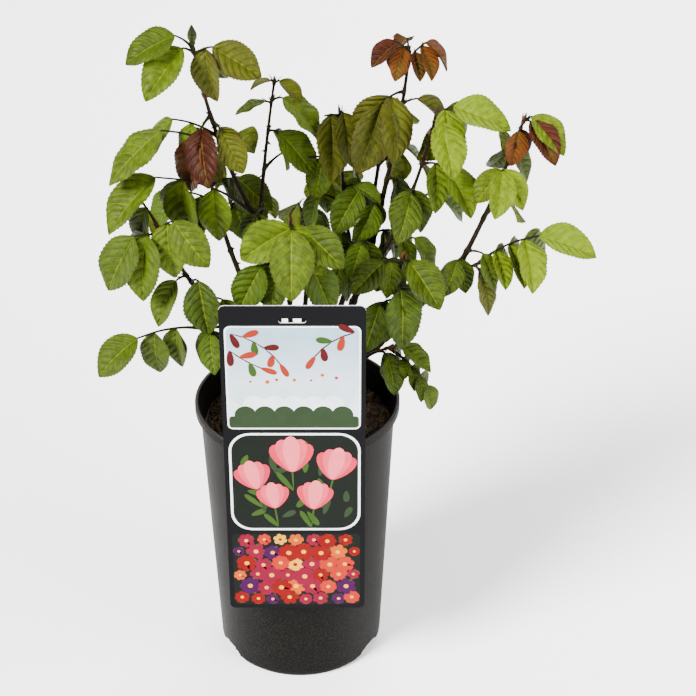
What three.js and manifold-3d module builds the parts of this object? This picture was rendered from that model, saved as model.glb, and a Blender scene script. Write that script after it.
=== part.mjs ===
// A young bush rose in a tall nursery pot, with a picture card hooked over the pot's rim.
// Millimetres, +Z up, +X to the right and -Y to the front. The origin is the centre of the pot's underside.
// A heading is a compass angle in the ground plane: 0 is right, 90 is back, 180 is left and 270 is front.
// A lean is measured from the vertical, and a rise or a hang from the horizontal, all in degrees.

import * as THREE from 'three';
import { mergeVertices } from 'three/addons/utils/BufferGeometryUtils.js';
import Module from 'manifold-3d';

const wasm = await Module();
wasm.setup();

// ---------------------------------------------------------------- driving dimensions

const GAP = 0.35; // between two pieces that touch

const POT = {
  height: 260,
  rimRadius: 90,
  rimWidth: 3,
  rimEdge: 1.2,
  lipHeight: 8,
  shoulderRadius: 86,
  heelRadius: 74.5,
  heelRise: 4,
  footRadius: 72.8,
  wall: 2,
  floor: 3,
  sides: 40,
};
const NOTCH = { headings: [90, 210, 330], radius: 22.5, height: 9, squeeze: 0.6, sides: 14 };
const DRAIN = { count: 5, radius: 5, ring: 46, sides: 8 };
const SOIL = { below: 24, crumb: 1.6, quietRadius: 22, rings: 5 };
const STOCK = { flareRadius: 15, neckRadius: 9.5, knobRadius: 12, height: 23, sides: 12 };
const SOCKET = { height: 12, offset: 6.5, length: 25 };
const CARD = { width: 118, bottom: 100, top: 410, front: 95, thickness: 1, corner: 5 };
const SLOT = { width: 22, height: 4, belowTop: 12 };
const HOOK = { width: 26, thickness: 1.2, reach: 12.6, drop: 18 };

// Each cane leaves the rootstock and turns evenly from its first heading and lean to its last.
// Its radius is given at the foot and at the tip.
const CANES = {
  cane_left: { heading: [181, 179], lean: [5, 11], length: 190, radius: [3.4, 2.3] },
  cane_low_left: { heading: [224, 210], lean: [30, 31], length: 148, radius: [3, 2.2] },
  cane_middle: { heading: [14, 18], lean: [25, 20], length: 144, radius: [3.8, 2.8] },
  cane_right: { heading: [354, 352], lean: [43, 38], length: 199, radius: [3.4, 2.4] },
  cane_front: { heading: [263, 270], lean: [17, 12], length: 140, radius: [2.8, 2.1] },
  cane_back_left: { heading: [138, 146], lean: [29, 24], length: 150, radius: [3, 2.2] },
  cane_back: { heading: [84, 78], lean: [33, 28], length: 115, radius: [2.8, 2.1] },
  cane_back_right: { heading: [44, 40], lean: [30, 24], length: 158, radius: [3.2, 2.3] },
};

// A shoot carries leaves. It leaves its cane at a share of the cane's length, 1 being the tip.
// A leaf row gives the share of the shoot's length where the leaf starts, its heading and rise, the
// length of its stalk, the number of leaflets, the length of the end leaflet, how far that one hangs,
// and how far the side leaflets hang.
const SHOOTS = {
  foliage_left_tall: {
    cane: 'cane_left', along: 1, heading: [206, 222], lean: [25, 9], length: 178, radius: [2.3, 1.2], bud: 9,
    leaves: [
      [0.62, 214, -52, 22, 3, 52, 64, 60],
      [0.59, 312, -25, 15, 3, 37, 54, 62],
      [0.04, 212, 33, 104, 5, 60, 27, 76],
      [0.4, 209, 32, 64, 1, 60, 34, 60],
      [0.96, 196, 44, 20, 1, 44, 12, 40],
      [0.94, 220, 36, 14, 1, 52, 42, 60],
      [0.94, 352, 26, 16, 3, 48, 30, 64],
      [0.5, 186, 26, 40, 3, 44, 44, 62],
      [0.34, 80, 30, 30, 1, 44, 38, 62],
    ],
  },
  foliage_left_inner: {
    cane: 'cane_left', along: 0.91, heading: [84, 62], lean: [26, 18], length: 126, radius: [1.9, 1],
    leaves: [
      [0.88, 345, 20, 10, 1, 51, 30, 62],
      [0.66, 336, 5, 10, 3, 48, 36, 66],
      [0.66, 213, 10, 8, 1, 36, 46, 60],
      [0.86, 182, 15, 6, 1, 28, 16, 40],
      [1, 338, 35, 6, 1, 26, 25, 40],
      [1, 210, 55, 5, 1, 20, 0, 40],
      [0.38, 40, 22, 26, 1, 44, 42, 62],
      [0.5, 140, 20, 24, 1, 42, 40, 62],
    ],
  },
  foliage_left_crown: {
    cane: 'cane_low_left', along: 1, heading: [206, 190], lean: [33, 22], length: 96, radius: [2.2, 1.2],
    leaves: [
      [1, 328, 42, 20, 3, 51, 50, 70],
      [0.94, 202, 12, 24, 3, 58, 52, 64],
      [0.97, 165, 45, 40, 3, 48, 34, 62],
      [0.42, 300, 30, 16, 1, 50, 70, 74],
      [0.5, 216, -8, 10, 1, 44, 48, 60],
      [0.62, 118, 25, 30, 1, 46, 40, 62],
    ],
  },
  foliage_low_left: {
    cane: 'cane_low_left', along: 0.86, heading: [236, 216], lean: [66, 78], length: 26, radius: [1.5, 1.1],
    leaves: [
      [1, 205, 6, 60, 5, 46, 26, 72],
      [0.7, 268, 8, 12, 3, 34, 55, 60],
    ],
  },
  foliage_front: {
    cane: 'cane_front', along: 1, heading: [276, 280], lean: [10, 14], length: 81, radius: [2, 1.2],
    leaves: [
      [1, 274, 12, 12, 3, 55, 58, 34],
      [0.94, 222, 25, 14, 1, 46, 34, 52],
      [0.92, 326, 25, 14, 1, 46, 40, 56],
      [0.5, 208, 10, 26, 3, 46, 50, 62],
      [0.55, 322, 5, 22, 3, 46, 52, 62],
      [0.85, 90, 30, 20, 1, 44, 36, 60],
    ],
  },
  foliage_middle: {
    cane: 'cane_middle', along: 0.82, heading: [128, 100], lean: [18, 6], length: 156, radius: [1.9, 1.1],
    leaves: [
      [0.98, 212, 15, 16, 3, 59, 64, 56],
      [1, 292, 25, 8, 1, 49, 64, 50],
      [0.7, 200, 22, 34, 3, 42, 42, 60],
      [0.42, 196, 40, 30, 1, 38, 42, 56],
      [0.55, 345, 22, 10, 1, 30, 6, 40],
      [0.78, 84, 25, 24, 3, 46, 40, 62],
      [0.42, 58, 15, 26, 1, 44, 44, 62],
    ],
  },
  foliage_top: {
    cane: 'cane_middle', along: 1, heading: [52, -6], lean: [19, 5], length: 190, radius: [2.8, 1.2],
    leaves: [
      [0.84, 234, 2, 32, 3, 60, 60, 54],
      [1, 196, 55, 18, 3, 30, 36, 52],
      [0.98, 8, 48, 22, 5, 32, 36, 48],
      [1, 100, 62, 16, 3, 28, 30, 50],
      [0.42, 302, 22, 16, 3, 49, 66, 60],
      [0.3, 236, 25, 12, 3, 38, 56, 60],
      [0.66, 78, 20, 26, 3, 44, 40, 62],
      [0.78, 4, 20, 14, 1, 40, 40, 60],
    ],
  },
  foliage_right_crown: {
    cane: 'cane_middle', along: 0.72, heading: [-12, 18], lean: [28, 12], length: 188, radius: [2, 1.1],
    leaves: [
      [1, 344, 36, 18, 3, 49, 12, 48],
      [0.97, 290, 22, 14, 3, 48, 42, 46],
      [0.74, 322, 12, 24, 3, 47, 34, 58],
      [0.6, 262, 14, 18, 3, 42, 52, 60],
      [0.84, 48, 26, 28, 3, 46, 36, 60],
      [0.5, 20, 15, 30, 1, 46, 40, 62],
    ],
  },
  foliage_right_far: {
    cane: 'cane_right', along: 1, heading: [4, 24], lean: [25, 18], length: 139, radius: [2.4, 1.1],
    leaves: [
      [1, 314, 20, 8, 1, 40, 42, 62],
      [0.99, 345, 42, 10, 1, 42, 28, 40],
      [0.96, 256, 10, 10, 3, 32, 72, 62],
      [0.66, 262, 32, 26, 5, 40, 40, 44],
      [0.75, 80, 25, 24, 3, 42, 36, 58],
      [0.36, 48, 15, 30, 1, 46, 40, 62],
    ],
  },
  foliage_right_low: {
    cane: 'cane_right', along: 0.94, heading: [344, 350], lean: [56, 54], length: 30, radius: [1.5, 1.1],
    leaves: [
      [1, 350, 32, 57, 7, 50, 8, 40],
      [0.7, 300, -15, 12, 3, 36, 58, 60],
    ],
  },
  foliage_front_right: {
    cane: 'cane_right', along: 0.42, heading: [302, 318], lean: [22, 10], length: 98, radius: [1.9, 1.1],
    leaves: [
      [1, 316, 12, 8, 3, 46, 40, 60],
      [0.96, 205, 20, 18, 3, 38, 36, 56],
      [0.74, 280, -5, 12, 3, 50, 62, 52],
      [0.5, 232, 12, 20, 3, 42, 54, 64],
      [0.6, 20, 10, 22, 1, 42, 44, 62],
    ],
  },
  foliage_rim_right: {
    cane: 'cane_right', along: 0.27, heading: [314, 330], lean: [46, 60], length: 41, radius: [1.6, 1],
    leaves: [
      [1, 340, -42, 46, 7, 26, 76, 44],
      [0.84, 342, 24, 16, 3, 34, 32, 56],
      [0.6, 300, 10, 14, 3, 36, 60, 66],
    ],
  },
  foliage_back_left: {
    cane: 'cane_back_left', along: 1, heading: [148, 138], lean: [20, 12], length: 92, radius: [2.2, 1.1],
    leaves: { count: 5, from: 0.28, first: 40, rise: 26, reach: [44, 16], leaflets: 5, blade: 47, hang: 36 },
  },
  foliage_back: {
    cane: 'cane_back', along: 1, heading: [78, 92], lean: [26, 14], length: 78, radius: [2.1, 1.1],
    leaves: { count: 4, from: 0.25, first: 330, rise: 22, reach: [42, 16], leaflets: 5, blade: 46, hang: 38 },
  },
  foliage_back_right: {
    cane: 'cane_back_right', along: 1, heading: [42, 64], lean: [18, 10], length: 112, radius: [2.3, 1.1],
    leaves: { count: 5, from: 0.2, first: 100, rise: 26, reach: [46, 16], leaflets: 5, blade: 47, hang: 36 },
  },
};

const STEM = { caneSides: 6, shootSides: 5, step: 18, fewest: 3, collar: 1.12 };
// Leaves look up, outwards from the crown's heart, and towards the brighter side.
const LIGHT = { heading: 270, rise: 62, heart: 20, outward: 0.4 };
const SPIRAL = 144; // the turn from one leaf to the next round a shoot
const STALK = { radius: [1.25, 0.8], sides: 3, steps: 3, fall: 34 };
const LEAFLET = {
  pairs: { 1: [], 3: [0.6], 5: [0.45, 0.76], 7: [0.32, 0.55, 0.78] },
  pairSize: [0.92, 0.8, 0.66], // the pair next to the end leaflet comes first
  splay: 56,
  width: 0.31,
  curl: 26,
  thickness: 0.02,
  root: [0, 0.02],
  neck: [0.1, 0.4], // the blade is free of its stalk from here on
  stations: [[0.2, 0.78], [0.46, 1], [0.76, 0.66]],
  sway: { heading: 7, hang: 6, roll: 12, curl: 9, length: 0.05 },
  dodges: [[0, 0], [0, 11], [14, 0], [-14, 0], [0, -11], [16, 14], [-16, 14], [0, 24], [26, 0], [-26, 0]],
};
const STALK_DODGES = [0, 8, -8, 16, -16, 24, -24];

const POT_COLOUR = { color: 0x33343a, roughness: 0.62, metalness: 0 };
const SOIL_COLOUR = { color: 0x1d1713, roughness: 1, metalness: 0 };
const BARK_COLOUR = { color: 0x4a3a26, roughness: 0.75, metalness: 0 };
const CARD_COLOUR = { color: 0xd9e3ea, roughness: 0.35, metalness: 0 };
const LEAF_COLOURS = [0x6f8a2e, 0x5b7a30, 0x86993a, 0x4b6b2c];

// ---------------------------------------------------------------- directions and seeded numbers

const radians = THREE.MathUtils.degToRad;

function pointing(heading, rise) {
  const level = Math.cos(radians(rise));
  const across = Math.cos(radians(heading)) * level;
  return new THREE.Vector3(across, Math.sin(radians(heading)) * level, Math.sin(radians(rise)));
}

const blend = (pair, share) => pair[0] + (pair[1] - pair[0]) * share;

function seeded(seed) {
  let state = seed * 7919 + 17;
  return (spread) => {
    state = (state * 16807) % 2147483647;
    return spread * ((2 * state) / 2147483647 - 1);
  };
}

// ---------------------------------------------------------------- closed geometry and solids

function closedGeometry(points, triangles) {
  const geometry = new THREE.BufferGeometry();
  geometry.setFromPoints(points);
  geometry.setIndex(triangles);
  return geometry;
}

function solidOf(geometry) {
  const bare = geometry.clone();
  bare.deleteAttribute('normal');
  bare.deleteAttribute('uv');
  const merged = mergeVertices(bare, 1e-4);
  const index = [...merged.index.array];
  const triangles = [];
  for (let i = 0; i < index.length; i += 3) {
    const [a, b, c] = index.slice(i, i + 3);
    if (a !== b && b !== c && c !== a) triangles.push(a, b, c);
  }
  const mesh = new wasm.Mesh({
    numProp: 3,
    vertProperties: new Float32Array(merged.attributes.position.array),
    triVerts: new Uint32Array(triangles),
  });
  return new wasm.Manifold(mesh);
}

const fuse = (solids) => solids.reduce((whole, solid) => whole.add(solid));

function geometryOf(solid) {
  const mesh = solid.getMesh();
  const geometry = new THREE.BufferGeometry();
  geometry.setAttribute('position', new THREE.BufferAttribute(mesh.vertProperties, mesh.numProp));
  geometry.setIndex(new THREE.BufferAttribute(mesh.triVerts, 1));
  geometry.computeVertexNormals();
  return geometry;
}

// A profile of [radius, height] points, turned round the vertical.
function turned(profile, sides) {
  const points = profile.map(([radius, height]) => new THREE.Vector2(radius, height));
  return new THREE.LatheGeometry(points, sides).rotateX(Math.PI / 2);
}

// A closed tube with one radius for each point of its path.
function tube(path, radii, sides) {
  const points = [];
  const triangles = [];
  let across = new THREE.Vector3(0, 1, 0);
  path.forEach((centre, i) => {
    const before = path[Math.max(i - 1, 0)];
    const after = path[Math.min(i + 1, path.length - 1)];
    const forward = after.clone().sub(before).normalize();
    across = across.clone().addScaledVector(forward, -across.dot(forward)).normalize();
    const up = forward.clone().cross(across);
    for (let side = 0; side < sides; side += 1) {
      const angle = (side / sides) * 2 * Math.PI;
      const point = centre.clone().addScaledVector(across, radii[i] * Math.cos(angle));
      points.push(point.addScaledVector(up, radii[i] * Math.sin(angle)));
    }
  });
  for (let ring = 0; ring < path.length - 1; ring += 1) {
    for (let side = 0; side < sides; side += 1) {
      const a = ring * sides + side;
      const b = ring * sides + ((side + 1) % sides);
      triangles.push(a, b, b + sides, a, b + sides, a + sides);
    }
  }
  const last = (path.length - 1) * sides;
  for (let side = 1; side < sides - 1; side += 1) {
    triangles.push(0, side + 1, side, last, last + side, last + side + 1);
  }
  return closedGeometry(points, triangles);
}

// ---------------------------------------------------------------- pot and soil

const potWallAt = (height) => blend([POT.heelRadius, POT.shoulderRadius], height / POT.height);

function innerProfile(clearance) {
  const low = POT.floor + clearance;
  const radiusAt = (height) => potWallAt(height) - POT.wall - clearance;
  return [
    [0, low],
    [radiusAt(0) - POT.heelRise, low],
    [radiusAt(POT.heelRise), low + POT.heelRise],
  ];
}

function notches(clearance) {
  return fuse(
    NOTCH.headings.map((heading) => {
      const ball = new THREE.SphereGeometry(NOTCH.radius + clearance, NOTCH.sides, NOTCH.sides / 2);
      ball.scale(NOTCH.squeeze, 1, 1).translate(POT.footRadius, 0, NOTCH.height - NOTCH.radius);
      return solidOf(ball.rotateZ(radians(heading)));
    }),
  );
}

function drainHoles() {
  return Array.from({ length: DRAIN.count }, (_, i) => {
    const hole = new THREE.CylinderGeometry(DRAIN.radius, DRAIN.radius, 4 * POT.floor, DRAIN.sides);
    hole.rotateX(Math.PI / 2).translate(DRAIN.ring, 0, 0);
    return solidOf(hole.rotateZ(radians(((i + 0.5) * 360) / DRAIN.count)));
  });
}

function makePot() {
  const lipFoot = POT.height - POT.lipHeight;
  const shoulder = potWallAt(lipFoot);
  const outside = [
    [0, 0],
    [POT.footRadius, 0],
    [potWallAt(POT.heelRise), POT.heelRise],
    [shoulder, lipFoot - POT.rimEdge],
    [POT.rimRadius, lipFoot],
    [POT.rimRadius, POT.height - POT.rimEdge],
    [POT.rimRadius - POT.rimEdge, POT.height],
    [0, POT.height],
  ];
  const inside = [
    ...innerProfile(0),
    [shoulder - POT.wall, lipFoot],
    [POT.rimRadius - POT.rimWidth, POT.height],
    [POT.rimRadius - POT.rimWidth, POT.height + 1],
    [0, POT.height + 1],
  ];
  const hollow = solidOf(turned(inside, POT.sides)).subtract(notches(POT.wall));
  return solidOf(turned(outside, POT.sides)).subtract(hollow).subtract(notches(0)).subtract(fuse(drainHoles()));
}

const soilTop = POT.height - SOIL.below;

// The soil is level round the rootstock and lumpy elsewhere.
function lump(x, y) {
  const distance = Math.hypot(x, y);
  if (distance < SOIL.quietRadius + 1) return 0;
  return SOIL.crumb * (Math.sin(x * 0.19 + y * 0.07) + Math.sin(y * 0.23 - x * 0.11) - 0.4);
}

function makeSoil() {
  const edge = potWallAt(soilTop - 3 * SOIL.crumb) - POT.wall - GAP;
  const rings = Array.from({ length: SOIL.rings }, (_, i) => {
    const share = i / (SOIL.rings - 1);
    return [blend([edge, SOIL.quietRadius], share), soilTop];
  });
  const body = turned([...innerProfile(GAP), ...rings, [0, soilTop]], POT.sides / 2);
  const position = body.attributes.position;
  for (let i = 0; i < position.count; i += 1) {
    const [x, y, z] = [position.getX(i), position.getY(i), position.getZ(i)];
    if (z > soilTop - 1) position.setZ(i, z + lump(x, y));
  }
  return solidOf(body).subtract(notches(POT.wall + GAP));
}

// ---------------------------------------------------------------- picture card

function roundedPlate(width, bottom, top, corner) {
  const side = width / 2;
  const plate = new THREE.Shape();
  plate.moveTo(-side + corner, bottom).lineTo(side - corner, bottom);
  plate.absarc(side - corner, bottom + corner, corner, -Math.PI / 2, 0);
  plate.absarc(side - corner, top - corner, corner, 0, Math.PI / 2);
  plate.absarc(-side + corner, top - corner, corner, Math.PI / 2, Math.PI);
  plate.absarc(-side + corner, bottom + corner, corner, Math.PI, 1.5 * Math.PI);
  return plate;
}

function makeCard() {
  const plate = roundedPlate(CARD.width, CARD.bottom, CARD.top, CARD.corner);
  const slotTop = CARD.top - SLOT.belowTop;
  plate.holes.push(roundedPlate(SLOT.width, slotTop - SLOT.height, slotTop, SLOT.height / 2));
  const sheet = new THREE.ExtrudeGeometry(plate, { depth: CARD.thickness, bevelEnabled: false, curveSegments: 3 });
  sheet.rotateX(Math.PI / 2).translate(0, CARD.thickness - CARD.front, 0);
  const over = POT.height + GAP;
  const t = HOOK.thickness;
  const strap = new THREE.Shape();
  strap.moveTo(-t, over).lineTo(HOOK.reach, over).lineTo(HOOK.reach, over - HOOK.drop);
  strap.lineTo(HOOK.reach + t, over - HOOK.drop).lineTo(HOOK.reach + t, over + t).lineTo(-t, over + t);
  const hook = new THREE.ExtrudeGeometry(strap, { depth: HOOK.width, bevelEnabled: false });
  hook.rotateX(Math.PI / 2).rotateZ(Math.PI / 2);
  hook.translate(-HOOK.width / 2, CARD.thickness - CARD.front, 0);
  return solidOf(sheet).add(solidOf(hook));
}

// ---------------------------------------------------------------- limbs

// The path of a limb from a point on its parent's axis. It is straight for the length of its socket,
// and then turns evenly. Returns evenly spaced points from the end of the socket to the tip.
function limbPath(start, limb, socket) {
  const steps = Math.max(STEM.fewest, Math.ceil((limb.length - socket) / STEM.step));
  const stride = (limb.length - socket) / steps;
  const path = [start.clone().addScaledVector(pointing(limb.heading[0], 90 - limb.lean[0]), socket)];
  for (let i = 0; i < steps; i += 1) {
    const share = (i + 0.5) / steps;
    const forward = pointing(blend(limb.heading, share), 90 - blend(limb.lean, share));
    path.push(path[i].clone().addScaledVector(forward, stride));
  }
  return path;
}

const taper = (path, radius) => path.map((_, i) => blend(radius, i / (path.length - 1)));

// The point and direction at a share of a path's length.
function along(path, share) {
  const place = Math.min(share * (path.length - 1), path.length - 1.0001);
  const before = Math.floor(place);
  const forward = path[before + 1].clone().sub(path[before]);
  return { point: path[before].clone().addScaledVector(forward, place - before), forward: forward.normalize() };
}

// A short stub that stands on a parent, and the place where its limb starts.
function socketFor(start, limb, length, collar) {
  const forward = pointing(limb.heading[0], 90 - limb.lean[0]);
  const end = start.clone().addScaledVector(forward, length);
  return tube([start, end], [limb.radius[0] * collar, limb.radius[0]], STEM.caneSides);
}

function socketLength(parent, limb, share) {
  const { forward } = along(parent.path, share);
  const angle = forward.angleTo(pointing(limb.heading[0], 90 - limb.lean[0]));
  return (blend(parent.radius, share) + limb.radius[0]) / Math.sin(angle) + 1.5;
}

// ---------------------------------------------------------------- leaves

// A leaf's stalk starts steeper than its rise and ends flatter, so that it arches.
function stalkPath(base, heading, rise, reach) {
  const path = [base.clone()];
  for (let i = 0; i < STALK.steps; i += 1) {
    const share = (i + 0.5) / STALK.steps;
    const forward = pointing(heading, rise + STALK.fall * (0.5 - share));
    path.push(path[i].clone().addScaledVector(forward, reach / STALK.steps));
  }
  return path;
}

// The leaflets of one leaf: the end one, then each pair, the nearest to the end first.
function leafletsOf(path, row, draw) {
  const [, heading, , , count, length, hang, sideHang] = row;
  const leaflets = [{ root: path.at(-1), heading, hang, length }];
  [...LEAFLET.pairs[count]].reverse().forEach((share, pair) => {
    for (const side of [1, -1]) {
      leaflets.push({
        root: along(path, share).point,
        heading: heading + side * LEAFLET.splay,
        hang: sideHang,
        length: length * LEAFLET.pairSize[pair],
      });
    }
  });
  const sway = LEAFLET.sway;
  for (const leaflet of leaflets) {
    leaflet.heading += draw(sway.heading);
    leaflet.hang += draw(sway.hang);
    leaflet.roll = draw(sway.roll);
    leaflet.curl = LEAFLET.curl + draw(sway.curl);
    leaflet.length *= 1 + draw(sway.length);
  }
  return leaflets;
}

// The way the upper face of a blade looks: towards the light as far as its direction lets it.
function facing(root, forward) {
  const outward = new THREE.Vector3(root.x - LIGHT.heart, root.y, 0).normalize();
  const light = pointing(LIGHT.heading, LIGHT.rise).addScaledVector(outward, LIGHT.outward);
  return light.addScaledVector(forward, -light.dot(forward)).normalize();
}

// One leaflet from its first station on: a thin keeled blade that curls down towards its tip. Its root
// is sunk in the stalk.
function leafletGeometry({ root, heading, hang, length, roll, curl }, first) {
  const forward = pointing(heading, -hang);
  const upper = facing(root, forward).applyAxisAngle(forward, radians(roll));
  const side = upper.clone().cross(forward);
  const centre = root.clone();
  const points = [];
  let reached = 0;
  const advance = (share) => {
    const bend = radians((curl * (reached + share)) / 2);
    centre.addScaledVector(forward, Math.cos(bend) * (share - reached) * length);
    centre.addScaledVector(upper, -Math.sin(bend) * (share - reached) * length);
    reached = share;
  };
  const stations = [first, ...LEAFLET.stations];
  for (const [share, width] of stations) {
    advance(share);
    const bend = radians(curl * share);
    const up = upper.clone().multiplyScalar(Math.cos(bend)).addScaledVector(forward, Math.sin(bend));
    const halfWidth = width * LEAFLET.width * length;
    points.push(centre.clone().addScaledVector(side, halfWidth));
    points.push(centre.clone().addScaledVector(side, -halfWidth));
    points.push(centre.clone().addScaledVector(up, -LEAFLET.thickness * length));
  }
  advance(1);
  points.push(centre.clone());
  const triangles = [0, 2, 1];
  const last = 3 * (stations.length - 1);
  for (let k = 0; k < 3; k += 1) {
    const next = (k + 1) % 3;
    for (let ring = 0; ring < last; ring += 3) {
      triangles.push(ring + k, ring + next, ring + next + 3, ring + k, ring + next + 3, ring + k + 3);
    }
    triangles.push(last + k, last + next, last + 3);
  }
  return closedGeometry(points, triangles);
}

// The leaf rows of a shoot whose leaves follow a rule: each a turn of the spiral after the last, with
// the upper ones on shorter stalks.
function spiralRows({ count, from, first, rise, reach, leaflets, blade, hang }, draw) {
  return Array.from({ length: count }, (_, i) => {
    const share = i / (count - 1);
    return [
      blend([from, 1], share),
      first + i * SPIRAL + draw(12),
      rise + draw(8),
      blend(reach, share) + draw(4),
      share > 0.8 ? 3 : leaflets,
      blade * (1 - 0.2 * share * share) * (1 + draw(0.06)),
      hang + draw(8),
      hang + 22 + draw(6),
    ];
  });
}

// ---------------------------------------------------------------- what is already in place

const placed = [];

function place(node, solid, free) {
  placed.push({ node, solid, free, box: solid.boundingBox() });
  return solid;
}

function near(a, b) {
  return [0, 1, 2].every((k) => a.min[k] - GAP < b.max[k] && b.min[k] - GAP < a.max[k]);
}

// A solid is clear if it keeps its gap to every other node, and if its free part cuts no other blade.
function clear(node, solid, free) {
  const box = solid.boundingBox();
  return placed.every((other) => {
    if (!near(box, other.box)) return true;
    if (other.node !== node) return solid.minGap(other.solid, 2 * GAP) > GAP;
    return !free || !other.free || free.minGap(other.free, 2 * GAP) > 0;
  });
}

// ---------------------------------------------------------------- growing the shrub

const nodes = {};

function makeStock() {
  const z = soilTop + GAP;
  const { flareRadius, neckRadius, knobRadius, height, sides } = STOCK;
  const profile = [
    [0, z],
    [flareRadius, z],
    [flareRadius * 0.92, z + 2],
    [neckRadius, z + 8],
    [knobRadius, z + 14],
    [knobRadius * 0.95, z + 19],
    [knobRadius * 0.6, z + height],
    [0, z + height],
  ];
  return solidOf(turned(profile, sides));
}

function growCanes() {
  const parts = [makeStock()];
  for (const [name, cane] of Object.entries(CANES)) {
    const foot = pointing(cane.heading[0], 0).multiplyScalar(SOCKET.offset);
    foot.z = soilTop + GAP + SOCKET.height;
    parts.push(solidOf(socketFor(foot, cane, SOCKET.length, STEM.collar)));
    cane.path = limbPath(foot, cane, SOCKET.length + GAP);
    nodes[name] = { parts: [solidOf(tube(cane.path, taper(cane.path, cane.radius), STEM.caneSides))] };
  }
  nodes.rootstock = { parts };
}

// A shoot at its cane's tip runs on from it. Any other stands on a stub of its own.
function growStem(name, shoot) {
  const cane = CANES[shoot.cane];
  const start = along(cane.path, shoot.along).point;
  if (shoot.along === 1) {
    const bend = along(cane.path, 1).forward.angleTo(pointing(shoot.heading[0], 90 - shoot.lean[0]));
    const lift = (GAP + cane.radius[1] * Math.sin(bend)) / Math.cos(bend);
    shoot.path = limbPath(cane.path.at(-1), shoot, lift);
  } else {
    const length = socketLength(cane, shoot, shoot.along);
    nodes[shoot.cane].parts.push(solidOf(socketFor(start, shoot, length, 1)));
    shoot.path = limbPath(start, shoot, length + GAP);
  }
  const parts = [solidOf(tube(shoot.path, taper(shoot.path, shoot.radius), STEM.shootSides))];
  if (shoot.bud) {
    const ball = new THREE.SphereGeometry(shoot.bud / 2.4, 8, 6).scale(1, 1, 1.7);
    const tip = shoot.path.at(-1);
    parts.push(solidOf(ball.translate(tip.x, tip.y, tip.z + shoot.bud / 2)));
  }
  nodes[name] = { parts };
}

function growLeaf(name, shoot, row, draw) {
  const [share, heading, rise, reach] = row;
  const base = along(shoot.path, share).point;
  for (const turn of STALK_DODGES) {
    const path = stalkPath(base, heading + turn, rise, reach);
    const stalk = solidOf(tube(path, taper(path, STALK.radius), STALK.sides));
    if (!clear(name, stalk)) continue;
    nodes[name].parts.push(place(name, stalk));
    for (const leaflet of leafletsOf(path, row, draw)) {
      for (const [aside, down] of LEAFLET.dodges) {
        const moved = { ...leaflet, heading: leaflet.heading + turn + aside, hang: leaflet.hang + down };
        const blade = solidOf(leafletGeometry(moved, LEAFLET.root));
        const free = solidOf(leafletGeometry(moved, LEAFLET.neck));
        if (!clear(name, blade, free)) continue;
        nodes[name].parts.push(place(name, blade, free));
        break;
      }
    }
    return;
  }
}

function growShrub() {
  growCanes();
  for (const [name, shoot] of Object.entries(SHOOTS)) growStem(name, shoot);
  nodes.pot = { parts: [makePot()] };
  nodes.soil = { parts: [makeSoil()] };
  nodes.label_card = { parts: [makeCard()] };
  for (const [name, { parts }] of Object.entries(nodes)) parts.forEach((part) => place(name, part));
  Object.entries(SHOOTS).forEach(([name, shoot], i) => {
    const draw = seeded(i + 1);
    const rows = Array.isArray(shoot.leaves) ? shoot.leaves : spiralRows(shoot.leaves, draw);
    for (const row of rows) growLeaf(name, shoot, row, draw);
  });
}

growShrub();

// ---------------------------------------------------------------- the scene graph

const colours = { pot: POT_COLOUR, soil: SOIL_COLOUR, label_card: CARD_COLOUR };
const group = new THREE.Group();
Object.entries(nodes).forEach(([name, { parts }], i) => {
  const leafColour = { color: LEAF_COLOURS[i % LEAF_COLOURS.length], roughness: 0.5, metalness: 0 };
  const colour = colours[name] ?? (name in SHOOTS ? leafColour : BARK_COLOUR);
  const mesh = new THREE.Mesh(geometryOf(fuse(parts)), new THREE.MeshStandardMaterial(colour));
  mesh.name = name;
  group.add(mesh);
});

export default group;
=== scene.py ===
"""Dresses the packed potted rose: bark, leaves, bud, pot, compost and picture card.

The file is laid out as an add-on and is run as a script. Its frame is the packed model's: +Z is up, -Y
is the front and +X the right. The settings are in metres. Shapes are worked out in millimetres and
degrees, by the same rule as the packed solids, and become metres when their mesh is made.
"""

import math
from functools import lru_cache

import bmesh
import bpy
import numpy as np
from bpy.props import FloatProperty, FloatVectorProperty, IntProperty, PointerProperty
from mathutils import Matrix, Vector
from mathutils.kdtree import KDTree


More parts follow.
